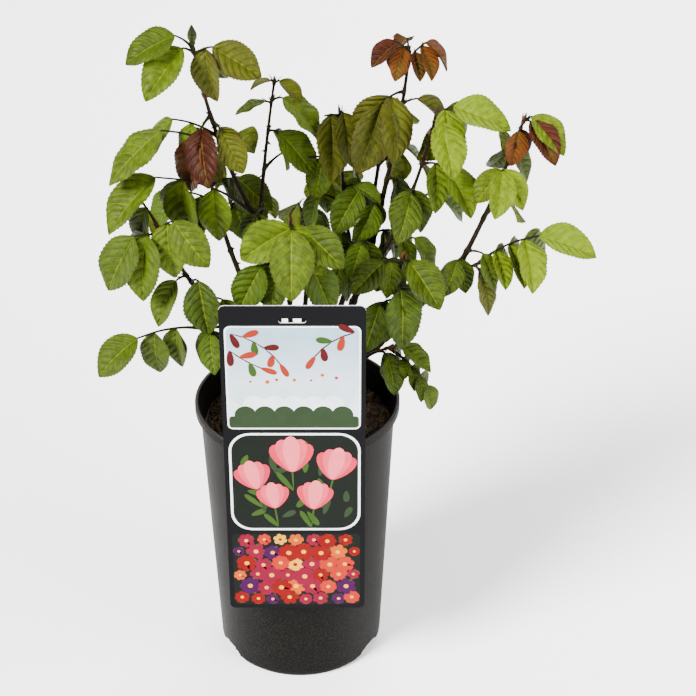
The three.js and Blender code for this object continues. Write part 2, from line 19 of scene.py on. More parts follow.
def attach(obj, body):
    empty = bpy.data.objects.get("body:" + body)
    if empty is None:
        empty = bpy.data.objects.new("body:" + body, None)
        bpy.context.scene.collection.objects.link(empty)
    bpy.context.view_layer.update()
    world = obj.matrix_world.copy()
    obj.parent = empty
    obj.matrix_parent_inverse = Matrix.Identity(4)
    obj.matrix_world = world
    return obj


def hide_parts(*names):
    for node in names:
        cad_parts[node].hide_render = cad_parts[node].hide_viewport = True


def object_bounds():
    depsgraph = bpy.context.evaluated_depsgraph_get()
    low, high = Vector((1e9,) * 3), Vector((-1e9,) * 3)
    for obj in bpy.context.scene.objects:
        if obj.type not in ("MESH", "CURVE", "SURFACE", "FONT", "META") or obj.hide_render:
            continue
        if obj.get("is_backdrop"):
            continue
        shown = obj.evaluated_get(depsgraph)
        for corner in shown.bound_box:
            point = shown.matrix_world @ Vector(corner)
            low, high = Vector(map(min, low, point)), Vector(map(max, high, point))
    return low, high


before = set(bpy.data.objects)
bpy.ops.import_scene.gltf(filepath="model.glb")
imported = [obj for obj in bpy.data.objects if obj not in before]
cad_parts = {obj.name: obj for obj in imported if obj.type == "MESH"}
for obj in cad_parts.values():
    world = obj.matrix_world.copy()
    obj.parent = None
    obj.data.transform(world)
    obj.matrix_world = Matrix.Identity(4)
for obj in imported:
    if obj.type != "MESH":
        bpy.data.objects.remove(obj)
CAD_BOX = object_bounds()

bl_info = {
    "name": "Potted rose",
    "version": (1, 0, 0),
    "blender": (4, 5, 0),
    "location": "3D View > Sidebar > Rose",
    "description": "Dresses a young potted rose bush with bark, leaves, compost and a picture card",
    "category": "Object",
}

MM = 0.001
ROOT = "root"

# -------- the plant's rule, as in the solids

GAP = 0.35
SOIL_TOP = 236
SOCKET = {"height": 12, "offset": 6.5, "length": 25}
STEM = {"step": 18, "fewest": 3, "clear": 1.5, "foot": 1.05}
LIGHT = {"heading": 270, "rise": 62, "heart": 20, "outward": 0.4}
SPIRAL = {"turn": 144, "shrink": 0.2, "side_hang": 22, "small": (0.8, 3)}
SPIRAL_SWAY = {"heading": 12, "rise": 8, "reach": 4, "blade": 0.06, "hang": 8, "side_hang": 6}
STALK = {"radius": (1.25, 0.8), "steps": 3, "fall": 34, "foot": 1.6}
LEAFLET = {
    "pairs": {1: [], 3: [0.6], 5: [0.45, 0.76], 7: [0.32, 0.55, 0.78]},
    "pair_size": [0.92, 0.8, 0.66],
    "splay": 56,
    "width": 0.31,
    "curl": 26,
    "stations": [0.2, 0.46, 0.76, 1],
    "root": 0.02,
    "sway": {"heading": 7, "hang": 6, "roll": 12, "curl": 9, "length": 0.05},
    "dodges": [(0, 0), (0, 11), (14, 0), (-14, 0), (0, -11), (16, 14), (-16, 14), (0, 24), (26, 0), (-26, 0)],
}
STALK_DODGES = [0, 8, -8, 16, -16, 24, -24]
SEEDS = {"solids": 1, "looks": 101, "tips": 211, "finer": 301}  # the first shoot's, and one more for each
END_GAP = 0.0001  # keeps a place at a path's end within its last step
SAME_PLACE = 0.3  # a blade stands where the solid's does if its tip is this close to a corner of it

CANES = {
    "cane_left": {"heading": (181, 179), "lean": (5, 11), "length": 190, "radius": (3.4, 2.3)},
    "cane_low_left": {"heading": (224, 210), "lean": (30, 31), "length": 148, "radius": (3, 2.2)},
    "cane_middle": {"heading": (14, 18), "lean": (25, 20), "length": 144, "radius": (3.8, 2.8)},
    "cane_right": {"heading": (354, 352), "lean": (43, 38), "length": 199, "radius": (3.4, 2.4)},
    "cane_front": {"heading": (263, 270), "lean": (17, 12), "length": 140, "radius": (2.8, 2.1)},
    "cane_back_left": {"heading": (138, 146), "lean": (29, 24), "length": 150, "radius": (3, 2.2)},
    "cane_back": {"heading": (84, 78), "lean": (33, 28), "length": 115, "radius": (2.8, 2.1)},
    "cane_back_right": {"heading": (44, 40), "lean": (30, 24), "length": 158, "radius": (3.2, 2.3)},
}

# A leaf row gives the share of the shoot's length where the leaf starts, its heading and rise, the
# length of its stalk, the number of leaflets, the length of the end leaflet, how far that one hangs,
# how far the side leaflets hang, and the leaf's tint. The shoots behind have a rule in place of rows.
SHOOTS = {
    "left_tall": {
        "cane": "cane_left", "along": 1, "heading": (206, 222), "lean": (25, 9), "length": 178,
        "radius": (2.3, 1.2),
        "leaves": [
            (0.62, 214, -52, 22, 3, 52, 64, 60, "bronze"),
            (0.59, 312, -25, 15, 3, 37, 54, 62, "olive"),
            (0.04, 212, 33, 104, 5, 60, 27, 76, "young"),
            (0.4, 209, 32, 64, 1, 60, 34, 60, "young"),
            (0.96, 196, 44, 20, 1, 44, 12, 40, "green"),
            (0.94, 220, 36, 14, 1, 52, 42, 60, "young"),
            (0.94, 352, 26, 16, 3, 48, 30, 64, "olive"),
            (0.5, 186, 26, 40, 3, 44, 44, 62, "young"),
            (0.34, 80, 30, 30, 1, 44, 38, 62, "green"),
        ],
    },
    "left_inner": {
        "cane": "cane_left", "along": 0.91, "heading": (84, 62), "lean": (26, 18), "length": 126,
        "radius": (1.9, 1),
        "leaves": [
            (0.88, 345, 20, 10, 1, 51, 30, 62, "young"),
            (0.66, 336, 5, 10, 3, 48, 36, 66, "green"),
            (0.66, 213, 10, 8, 1, 36, 46, 60, "green"),
            (0.86, 182, 15, 6, 1, 28, 16, 40, "green"),
            (1, 338, 35, 6, 1, 26, 25, 40, "olive"),
            (1, 210, 55, 5, 1, 20, 0, 40, "olive"),
            (0.38, 40, 22, 26, 1, 44, 42, 62, "dark"),
            (0.5, 140, 20, 24, 1, 42, 40, 62, "green"),
        ],
    },
    "left_crown": {
        "cane": "cane_low_left", "along": 1, "heading": (206, 190), "lean": (33, 22), "length": 96,
        "radius": (2.2, 1.2),
        "leaves": [
            (1, 328, 42, 20, 3, 51, 50, 70, "young"),
            (0.94, 202, 12, 24, 3, 58, 52, 64, "green"),
            (0.97, 165, 45, 40, 3, 48, 34, 62, "green"),
            (0.42, 300, 30, 16, 1, 50, 70, 74, "dark"),
            (0.5, 216, -8, 10, 1, 44, 48, 60, "green"),
            (0.62, 118, 25, 30, 1, 46, 40, 62, "green"),
        ],
    },
    "low_left": {
        "cane": "cane_low_left", "along": 0.86, "heading": (236, 216), "lean": (66, 78), "length": 26,
        "radius": (1.5, 1.1),
        "leaves": [
            (1, 205, 6, 60, 5, 46, 26, 72, "green"),
            (0.7, 268, 8, 12, 3, 34, 55, 60, "dark"),
        ],
    },
    "front": {
        "cane": "cane_front", "along": 1, "heading": (276, 280), "lean": (10, 14), "length": 81,
        "radius": (2, 1.2),
        "leaves": [
            (1, 274, 12, 12, 3, 55, 58, 34, "young"),
            (0.94, 222, 25, 14, 1, 46, 34, 52, "green"),
            (0.92, 326, 25, 14, 1, 46, 40, 56, "green"),
            (0.5, 208, 10, 26, 3, 46, 50, 62, "dark"),
            (0.55, 322, 5, 22, 3, 46, 52, 62, "dark"),
            (0.85, 90, 30, 20, 1, 44, 36, 60, "green"),
        ],
    },
    "middle": {
        "cane": "cane_middle", "along": 0.82, "heading": (128, 100), "lean": (18, 6), "length": 156,
        "radius": (1.9, 1.1),
        "leaves": [
            (0.98, 212, 15, 16, 3, 59, 64, 56, "olive"),
            (1, 292, 25, 8, 1, 49, 64, 50, "olive"),
            (0.7, 200, 22, 34, 3, 42, 42, 60, "green"),
            (0.42, 196, 40, 30, 1, 38, 42, 56, "dark"),
            (0.55, 345, 22, 10, 1, 30, 6, 40, "dark"),
            (0.78, 84, 25, 24, 3, 46, 40, 62, "green"),
            (0.42, 58, 15, 26, 1, 44, 44, 62, "dark"),
        ],
    },
    "top": {
        "cane": "cane_middle", "along": 1, "heading": (52, -6), "lean": (19, 5), "length": 190,
        "radius": (2.8, 1.2),
        "leaves": [
            (0.84, 234, 2, 32, 3, 60, 60, 54, "olive"),
            (1, 196, 55, 18, 3, 30, 36, 52, "bronze"),
            (0.98, 8, 48, 22, 5, 32, 36, 48, "bronze"),
            (1, 100, 62, 16, 3, 28, 30, 50, "bronze"),
            (0.42, 302, 22, 16, 3, 49, 66, 60, "green"),
            (0.3, 236, 25, 12, 3, 38, 56, 60, "dark"),
            (0.66, 78, 20, 26, 3, 44, 40, 62, "green"),
            (0.78, 4, 20, 14, 1, 40, 40, 60, "olive"),
        ],
    },
    "right_crown": {
        "cane": "cane_middle", "along": 0.72, "heading": (-12, 18), "lean": (28, 12), "length": 188,
        "radius": (2, 1.1),
        "leaves": [
            (1, 344, 36, 18, 3, 49, 12, 48, "pale"),
            (0.97, 290, 22, 14, 3, 48, 42, 46, "pale"),
            (0.74, 322, 12, 24, 3, 47, 34, 58, "young"),
            (0.6, 262, 14, 18, 3, 42, 52, 60, "green"),
            (0.84, 48, 26, 28, 3, 46, 36, 60, "green"),
            (0.5, 20, 15, 30, 1, 46, 40, 62, "dark"),
        ],
    },
    "right_far": {
        "cane": "cane_right", "along": 1, "heading": (4, 24), "lean": (25, 18), "length": 139,
        "radius": (2.4, 1.1),
        "leaves": [
            (1, 314, 20, 8, 1, 40, 42, 62, "bronze"),
            (0.99, 345, 42, 10, 1, 42, 28, 40, "pale"),
            (0.96, 256, 10, 10, 3, 32, 72, 62, "bronze"),
            (0.66, 262, 32, 26, 5, 40, 40, 44, "pale"),
            (0.75, 80, 25, 24, 3, 42, 36, 58, "green"),
            (0.36, 48, 15, 30, 1, 46, 40, 62, "green"),
        ],
    },
    "right_low": {
        "cane": "cane_right", "along": 0.94, "heading": (344, 350), "lean": (56, 54), "length": 30,
        "radius": (1.5, 1.1),
        "leaves": [
            (1, 350, 32, 57, 7, 50, 8, 40, "pale"),
            (0.7, 300, -15, 12, 3, 36, 58, 60, "olive"),
        ],
    },
    "front_right": {
        "cane": "cane_right", "along": 0.42, "heading": (302, 318), "lean": (22, 10), "length": 98,
        "radius": (1.9, 1.1),
        "leaves": [
            (1, 316, 12, 8, 3, 46, 40, 60, "green"),
            (0.96, 205, 20, 18, 3, 38, 36, 56, "green"),
            (0.74, 280, -5, 12, 3, 50, 62, 52, "dark"),
            (0.5, 232, 12, 20, 3, 42, 54, 64, "dark"),
            (0.6, 20, 10, 22, 1, 42, 44, 62, "dark"),
        ],
    },
    "rim_right": {
        "cane": "cane_right", "along": 0.27, "heading": (314, 330), "lean": (46, 60), "length": 41,
        "radius": (1.6, 1),
        "leaves": [
            (1, 340, -42, 46, 7, 26, 76, 44, "green"),
            (0.84, 342, 24, 16, 3, 34, 32, 56, "green"),
            (0.6, 300, 10, 14, 3, 36, 60, 66, "dark"),
        ],
    },
    "back_left": {
        "cane": "cane_back_left", "along": 1, "heading": (148, 138), "lean": (20, 12), "length": 92,
        "radius": (2.2, 1.1),
        "leaves": {"count": 5, "from": 0.28, "first": 40, "rise": 26, "reach": (44, 16), "leaflets": 5,
                   "blade": 47, "hang": 36, "tints": ["dark", "dark", "green", "young", "olive"]},
    },
    "back": {
        "cane": "cane_back", "along": 1, "heading": (78, 92), "lean": (26, 14), "length": 78,
        "radius": (2.1, 1.1),
        "leaves": {"count": 4, "from": 0.25, "first": 330, "rise": 22, "reach": (42, 16), "leaflets": 5,
                   "blade": 46, "hang": 38, "tints": ["dark", "green", "green", "young"]},
    },
    "back_right": {
        "cane": "cane_back_right", "along": 1, "heading": (42, 64), "lean": (18, 10), "length": 112,
        "radius": (2.3, 1.1),
        "leaves": {"count": 5, "from": 0.2, "first": 100, "rise": 26, "reach": (46, 16), "leaflets": 5,
                   "blade": 47, "hang": 36, "tints": ["dark", "dark", "green", "young", "bronze"]},
    },
}

# Finer growth low in the crown, within the reach of the masses. The rows read as a shoot's leaf rows.
FINER = {
    "top": [
        (0.1, 252, 30, 33, 3, 34, 54, 62, "dark"),
        (0.16, 342, 22, 16, 3, 34, 66, 72, "green"),
        (0.12, 110, 14, 19, 3, 36, 60, 72, "dark"),
    ],
    "middle": [
        (0.06, 236, 24, 24, 3, 34, 54, 62, "green"),
        (0.26, 227, 30, 20, 3, 34, 56, 60, "dark"),
    ],
    "right_crown": [
        (0.16, 300, 20, 22, 3, 34, 56, 62, "green"),
        (0.26, 350, 20, 24, 3, 36, 52, 60, "green"),
    ],
    "right_far": [
        (0.06, 250, 24, 16, 3, 34, 50, 62, "green"),
        (0.12, 318, 15, 18, 1, 34, 50, 62, "green"),
    ],
    "left_inner": [(0.1, 262, 8, 33, 3, 34, 52, 62, "dark")],
    "left_crown": [(0.2, 320, 20, 22, 1, 36, 56, 62, "dark")],
    "back": [(0.05, 200, 22, 24, 3, 36, 46, 62, "dark")],
}


def pointing(heading, rise):
    heading, rise = math.radians(heading), math.radians(rise)
    level = math.cos(rise)
    return Vector((math.cos(heading) * level, math.sin(heading) * level, math.sin(rise)))


def blend(pair, share):
    return pair[0] + (pair[1] - pair[0]) * share


class Seeded:
    """The same run of numbers for the same seed. A call gives one between -spread and spread."""

    FIRST, FACTOR, PRIME = (7919, 17), 16807, 2147483647

    def __init__(self, seed):
        self.state = seed * self.FIRST[0] + self.FIRST[1]

    def __call__(self, spread):
        self.state = self.state * self.FACTOR % self.PRIME
        return spread * (2 * self.state / self.PRIME - 1)

    def between(self, low, high):
        return (low + high) / 2 + self((high - low) / 2)


def limb_path(start, limb, socket):
    """Evenly spaced points of a limb that turns evenly, from the end of its socket to its tip."""
    steps = max(STEM["fewest"], math.ceil((limb["length"] - socket) / STEM["step"]))
    stride = (limb["length"] - socket) / steps
    path = [start + pointing(limb["heading"][0], 90 - limb["lean"][0]) * socket]
    for i in range(steps):
        share = (i + 0.5) / steps
        forward = pointing(blend(limb["heading"], share), 90 - blend(limb["lean"], share))
        path.append(path[-1] + forward * stride)
    return path


def along(path, share):
    """The point and the direction at a share of a path's length."""
    place = min(share * (len(path) - 1), len(path) - 1 - END_GAP)
    before = math.floor(place)
    forward = path[before + 1] - path[before]
    return path[before] + forward * (place - before), forward.normalized()


def grow_cane(cane):
    forward = pointing(cane["heading"][0], 0)
    foot = forward * SOCKET["offset"] + Vector((0, 0, SOIL_TOP + GAP + SOCKET["height"]))
    return {**cane, "start": foot, "path": limb_path(foot, cane, SOCKET["length"] + GAP)}


def grow_stem(shoot, cane):
    """A shoot at its cane's tip runs on from it. Any other leaves the cane's side."""
    forward = pointing(shoot["heading"][0], 90 - shoot["lean"][0])
    if shoot["along"] == 1:
        start = cane["path"][-1]
        bend = along(cane["path"], 1)[1].angle(forward)
        socket = (GAP + cane["radius"][1] * math.sin(bend)) / math.cos(bend)
    else:
        start, direction = along(cane["path"], shoot["along"])
        girth = blend(cane["radius"], shoot["along"]) + shoot["radius"][0]
        socket = girth / math.sin(direction.angle(forward)) + STEM["clear"] + GAP
    return {**shoot, "start": start, "path": limb_path(start, shoot, socket)}


def stalk_path(base, heading, rise, reach):
    path = [base.copy()]
    for i in range(STALK["steps"]):
        share = (i + 0.5) / STALK["steps"]
        forward = pointing(heading, rise + STALK["fall"] * (0.5 - share))
        path.append(path[-1] + forward * (reach / STALK["steps"]))
    return path


def leaflets_of(path, row, draw):
    """The leaflets of one leaf: the end one, then each pair, the nearest to the end first."""
    heading, count, length, hang, side_hang = row[1], row[4], row[5], row[6], row[7]
    leaflets = [{"root": path[-1], "heading": heading, "hang": hang, "length": length}]
    for pair, share in enumerate(reversed(LEAFLET["pairs"][count])):
        for side in (1, -1):
            leaflets.append({
                "root": along(path, share)[0],
                "heading": heading + side * LEAFLET["splay"],
                "hang": side_hang,
                "length": length * LEAFLET["pair_size"][pair],
            })
    sway = LEAFLET["sway"]
    for leaflet in leaflets:
        leaflet["heading"] += draw(sway["heading"])
        leaflet["hang"] += draw(sway["hang"])
        leaflet["roll"] = draw(sway["roll"])
        leaflet["curl"] = LEAFLET["curl"] + draw(sway["curl"])
        leaflet["length"] *= 1 + draw(sway["length"])
    return leaflets


def blade_axes(leaflet):
    """The directions of a blade at its root: forward, the way its upper face looks, and sideways."""
    forward = pointing(leaflet["heading"], -leaflet["hang"])
    root = leaflet["root"]
    outward = Vector((root.x - LIGHT["heart"], root.y, 0)).normalized()
    light = pointing(LIGHT["heading"], LIGHT["rise"]) + outward * LIGHT["outward"]
    upper = (light - forward * light.dot(forward)).normalized()
    upper = Matrix.Rotation(math.radians(leaflet["roll"]), 3, forward) @ upper
    return forward, upper, upper.cross(forward)


def solid_tip(leaflet):
    """Where the solid's blade has its tip."""
    forward, upper, _ = blade_axes(leaflet)
    tip, reached = leaflet["root"].copy(), 0
    for share in [0, LEAFLET["root"], *LEAFLET["stations"]][1:]:
        bend = math.radians(leaflet["curl"] * (reached + share) / 2)
        stride = (share - reached) * leaflet["length"]
        tip += (forward * math.cos(bend) - upper * math.sin(bend)) * stride
        reached = share
    return tip


def spiral_rows(rule, draw):
    """Leaf rows by a rule: the leaves turn round the shoot and get smaller towards its tip."""
    rows, sway = [], SPIRAL_SWAY
    top, fewer = SPIRAL["small"]
    for i in range(rule["count"]):
        share = i / (rule["count"] - 1)
        rows.append((
            blend((rule["from"], 1), share),
            rule["first"] + i * SPIRAL["turn"] + draw(sway["heading"]),
            rule["rise"] + draw(sway["rise"]),
            blend(rule["reach"], share) + draw(sway["reach"]),
            fewer if share > top else rule["leaflets"],
            rule["blade"] * (1 - SPIRAL["shrink"] * share * share) * (1 + draw(sway["blade"])),
            rule["hang"] + draw(sway["hang"]),
            rule["hang"] + SPIRAL["side_hang"] + draw(sway["side_hang"]),
            rule["tints"][i],
        ))
    return rows


def corners_of(node):
    """The corners of a solid, in millimetres, for finding the nearest one."""
    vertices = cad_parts[node].data.vertices
    tree = KDTree(len(vertices))
    for i, vertex in enumerate(vertices):
        tree.insert(vertex.co / MM, i)
    tree.balance()
    return tree


def grow_leaf(shoot, row, draw, corners):
    """A leaf as the solids have it, where each blade has dodged what was in its way, or None."""
    base = along(shoot["path"], row[0])[0]
    for turn in STALK_DODGES:
        path = stalk_path(base, row[1] + turn, row[2], row[3])
        if corners.find(path[-1])[2] > STALK["radius"][1] + SAME_PLACE:
            continue
        found = []
        for leaflet in leaflets_of(path, row, draw):
            for aside, down in LEAFLET["dodges"]:
                heading, hang = leaflet["heading"] + turn + aside, leaflet["hang"] + down
                moved = {**leaflet, "heading": heading, "hang": hang}
                if corners.find(solid_tip(moved))[2] < SAME_PLACE:
                    found.append(moved)
                    break
        return {"path": path, "leaflets": found, "tint": row[8]} if found else None
    return None


def finer_leaf(shoot, row, draw):
    """A leaf of the finer growth, which the solids don't have."""
    path = stalk_path(along(shoot["path"], row[0])[0], row[1], row[2], row[3])
    return {"path": path, "leaflets": leaflets_of(path, row, draw), "tint": row[8]}


@lru_cache(maxsize=1)
def shrub():
    """The canes and shoots with their leaves, in millimetres."""
    canes = {name: grow_cane(cane) for name, cane in CANES.items()}
    shoots = {}
    for i, (name, shoot) in enumerate(SHOOTS.items()):
        shoot = grow_stem(shoot, canes[shoot["cane"]])
        draw, corners = Seeded(SEEDS["solids"] + i), corners_of("foliage_" + name)
        rows = shoot["leaves"]
        if isinstance(rows, dict):
            rows = spiral_rows(rows, draw)
        leaves = [grow_leaf(shoot, row, draw, corners) for row in rows]
        shoot["nodes"] = [row[0] for row, leaf in zip(rows, leaves) if leaf]
        shoot["leaves"] = [leaf for leaf in leaves if leaf]
        if not shoot["leaves"]:
            raise RuntimeError(f"the packed solid foliage_{name} has no leaf where its rule puts one")
        draw = Seeded(SEEDS["finer"] + i)
        for row in FINER.get(name, []):
            shoot["nodes"].append(row[0])
            shoot["leaves"].append(finer_leaf(shoot, row, draw))
        shoots[name] = shoot
    return canes, shoots


# -------- node trees and shader maths


class Term:
    """A socket that Python's operators work on. Each adds one Math node."""

    def __init__(self, tree, socket):
        self.tree = tree
        self.socket = socket

    def math(self, operation, *values):
        return self.tree.node("ShaderNodeMath", {"operation": operation}, dict(enumerate(values)))

    def __add__(self, other):
        return self.math("ADD", self, other)

    def __sub__(self, other):
        return self.math("SUBTRACT", self, other)

    def __rsub__(self, other):
        return self.math("SUBTRACT", other, self)

    def __mul__(self, other):
        return self.math("MULTIPLY", self, other)

    def __truediv__(self, other):
        return self.math("DIVIDE", self, other)

    def __rtruediv__(self, other):
        return self.math("DIVIDE", other, self)

    def __abs__(self):
        return self.math("ABSOLUTE", self)

    __radd__ = __add__
    __rmul__ = __mul__

    def fraction(self):
        return self.math("FRACT", self)

    def most(self, other):
        return self.math("MAXIMUM", self, other)

    def between(self, low, high):
        """0 below low, 1 above high, and smooth from one to the other."""
        values = {"Value": self, "From Min": low, "From Max": high}
        return self.tree.node("ShaderNodeMapRange", {"interpolation_type": "SMOOTHSTEP"}, values)


class Tree:
    """A node tree whose nodes are added by one method."""

    def __init__(self, tree):
        self.tree = tree
        tree.nodes.clear()

    def node(self, kind, settings=None, values=None, out=0):
        """Adds a node with its settings, then the values or links of its sockets. Returns an output."""
        node = self.tree.nodes.new(kind)
        for name, value in (settings or {}).items():
            setattr(node, name, value)
        for name, value in (values or {}).items():
            if isinstance(value, Term):
                self.tree.links.new(value.socket, node.inputs[name])
            else:
                node.inputs[name].default_value = value
        self.last = node
        return Term(self, node.outputs[out]) if node.outputs else None

    def times(self, vector, number):
        return self.node("ShaderNodeVectorMath", {"operation": "SCALE"}, {0: vector, "Scale": number})

    def vector(self, x, y=0.0, z=0.0):
        return self.node("ShaderNodeCombineXYZ", None, {"X": x, "Y": y, "Z": z})

    def random(self, low, high, seed):
        """A number or a vector between two, for each point."""
        kind, sockets, out = ("FLOAT_VECTOR", (0, 1), 0) if isinstance(low, tuple) else ("FLOAT", (2, 3), 1)
        values = {sockets[0]: low, sockets[1]: high, "Seed": seed}
        return self.node("FunctionNodeRandomValue", {"data_type": kind}, values, out)


class Finish(Tree):
    """A material made of one Principled shader, with its gloss and its coat on the shader's sockets."""

    def __init__(self, name, gloss, coat=0.0):
        self.material = bpy.data.materials.new(name)
        self.material.use_nodes = True
        super().__init__(self.material.node_tree)
        values = {"Specular IOR Level": gloss, "Coat Weight": coat, "Coat Roughness": 0.2 if coat else 0.03}
        shader = self.node("ShaderNodeBsdfPrincipled", None, values)
        self.shader = self.last
        self.node("ShaderNodeOutputMaterial", None, {"Surface": shader})
        self.place = self.node("ShaderNodeTexCoord", None, None, "Object")

    def mix(self, factor, a, b):
        """A colour between two, which are colours or terms."""
        a, b = (value if isinstance(value, Term) else (*value[:3], 1) for value in (a, b))
        return self.node("ShaderNodeMix", {"data_type": "RGBA"}, {0: factor, 6: a, 7: b}, 2)

    def noise(self, scale, detail=3, roughness=0.55, place=None):
        values = {"Vector": place or self.place, "Scale": scale, "Detail": detail, "Roughness": roughness}
        return self.node("ShaderNodeTexNoise", None, values, "Fac")

    def cells(self, scale, feature="F1"):
        values = {"Vector": self.place, "Scale": scale}
        return self.node("ShaderNodeTexVoronoi", {"feature": feature}, values, "Distance")

    def split(self, vector, axis):
        return self.node("ShaderNodeSeparateXYZ", None, {0: vector}, axis)

    def done(self, colour, roughness, height=None, strength=0, distance=0):
        """Feeds the shader, with a bump where there is one, and returns the material."""
        terms = {"Base Color": colour, "Roughness": roughness}
        if height is not None:
            values = {"Height": height, "Strength": strength, "Distance": distance}
            terms["Normal"] = self.node("ShaderNodeBump", None, values)
        for name, term in terms.items():
            self.tree.links.new(term.socket, self.shader.inputs[name])
        return self.material


def geometry_tree(name, inputs):
    """A Geometry Nodes tree with named inputs. Returns it with a term for each input."""
    group = bpy.data.node_groups.new(name, "GeometryNodeTree")
    face = group.interface
    face.new_socket("Geometry", in_out="OUTPUT", socket_type="NodeSocketGeometry")
    face.new_socket("Geometry", in_out="INPUT", socket_type="NodeSocketGeometry")
    for label, kind in inputs.items():
        face.new_socket(label, in_out="INPUT", socket_type="NodeSocket" + kind)
    tree = Tree(group)
    tree.node("NodeGroupInput")
    terms = {socket.name: Term(tree, socket) for socket in tree.last.outputs if socket.name}
    return tree, terms


def end_tree(tree, geometry, material):
    """Real geometry with its material is what every tree ends in."""
    real = tree.node("GeometryNodeRealizeInstances", None, {0: geometry})
    dressed = tree.node("GeometryNodeSetMaterial", None, {"Geometry": real, "Material": material})
    tree.node("NodeGroupOutput", None, {0: dressed})
    return tree


def strewn_tree(name, piece, turn, scale, inputs=None):
    """Strews a small piece over a surface, turned between two turns. Functions make it and scale it."""
    kinds = {"Density": "Float", **(inputs or {}), "Radius": "Float", "Seed": "Int", "Material": "Material"}
    tree, given = geometry_tree(name, kinds)
    values = {"Mesh": given["Geometry"], "Density": given["Density"], "Seed": given["Seed"]}
    pieces = tree.node("GeometryNodeInstanceOnPoints", None, {
        "Points": tree.node("GeometryNodeDistributePointsOnFaces", None, values, "Points"),
        "Instance": piece(tree, given),
        "Rotation": tree.random(*turn, given["Seed"]),
        "Scale": scale(tree, given),
    })
    return end_tree(tree, pieces, given["Material"])


def plain_mesh(source):
    """An object's finished shape as a mesh of its own."""
    bpy.context.view_layer.update()
    return bpy.data.meshes.new_from_object(source.evaluated_get(bpy.context.evaluated_depsgraph_get()))


def grown(source, tree, name, values):
    """Runs a tree on an object and returns the result as a plain mesh piece. The source is removed."""
    modifier = source.modifiers.new(name, "NODES")
    modifier.node_group = tree.tree
    for item in tree.tree.interface.items_tree:
        if item.in_out == "INPUT" and item.name in values:
            modifier[item.identifier] = values[item.name]
    source.update_tag()
    mesh = plain_mesh(source)
    bpy.data.objects.remove(source)
    if not mesh.polygons:
        raise RuntimeError(f"the tree for {name} made nothing")
    return linked(name, mesh)


# -------- meshes and pieces


def linked(name, data):
    piece = bpy.data.objects.new(name, data)
    bpy.context.scene.collection.objects.link(piece)
    return piece


def smoothed(mesh, sharp):
    """Smooth faces with hard edges past an angle in degrees, or flat faces where the angle is 0."""
    mesh.polygons.foreach_set("use_smooth", np.full(len(mesh.polygons), sharp > 0))
    if sharp:
        mesh.set_sharp_from_angle(angle=math.radians(sharp))
    mesh.update()


def mesh_piece(name, points, faces, materials, picks=None, sharp=40):
    """A mesh piece. Points are in millimetres, and picks gives each face's material."""
    mesh = bpy.data.meshes.new(name)
    mesh.from_pydata((np.asarray(points, float) * MM).tolist(), [], faces)
    for material in materials:
        mesh.materials.append(material)
    if picks is not None:
        mesh.polygons.foreach_set("material_index", np.asarray(picks, np.int32))
    smoothed(mesh, sharp)
    return linked(name, mesh)


def gather(shapes):
    """The points and faces of many small shapes in one."""
    points, faces = [], []
    for shape_points, shape_faces in shapes:
        faces.extend([tuple(k + len(points) for k in face) for face in shape_faces])
        points.extend(shape_points)
    return points, faces


def keep(piece, slot, *nodes):
    """Fixes a finished piece to the frame. It takes the place of the nodes that are named."""
    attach(piece, ROOT)
    if nodes:
        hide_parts(*nodes)


def join(name, pieces):
    """Joins pieces into one and keeps all their materials."""
    first = pieces[0]
    with bpy.context.temp_override(
        active_object=first, selected_objects=pieces, selected_editable_objects=pieces
    ):
        bpy.ops.object.join()
    first.name = first.data.name = name
    return first


def turned(profile, sides):
    """Points and quads of a closed ring profile of (radius, height) turned round the vertical."""
    profile = np.asarray(profile, float)
    angles = np.linspace(0, 2 * math.pi, sides, endpoint=False)
    x = np.outer(np.cos(angles), profile[:, 0])
    y = np.outer(np.sin(angles), profile[:, 0])
    z = np.tile(profile[:, 1], (sides, 1))
    count = len(profile)
    faces = []
    for i in range(sides):
        here, there = i * count, (i + 1) % sides * count
        for j in range(count):
            n = (j + 1) % count
            faces.append((here + j, there + j, there + n, here + n))
    return np.stack([x, y, z], 2).reshape(-1, 3), faces


TRIM_WELD = 1e-7  # welding distance of small trim, in metres


def welded(piece, distance=1e-6):
    """Closes seams and poles, and points the faces outwards."""
    shape = bmesh.new()
    shape.from_mesh(piece.data)
    bmesh.ops.remove_doubles(shape, verts=shape.verts, dist=distance)
    bmesh.ops.dissolve_degenerate(shape, edges=shape.edges, dist=distance)
    bmesh.ops.recalc_face_normals(shape, faces=shape.faces)
    shape.to_mesh(piece.data)
    shape.free()
    return piece


# -------- settings


def setting(kind, **options):
    """A maker of settings of one kind from a name, a description and a default."""
    return lambda name, text, default: kind(name=name, description=text, default=default, **options)


metres = setting(FloatProperty, min=0, unit="LENGTH")
focal = setting(FloatProperty, unit="CAMERA")
watts = setting(FloatProperty, unit="POWER")
amount = setting(FloatProperty)
portion = setting(FloatProperty, min=0, max=1, subtype="FACTOR")
whole = setting(IntProperty, min=1)
hue = setting(FloatVectorProperty, size=3, min=0, max=1, subtype="COLOR")


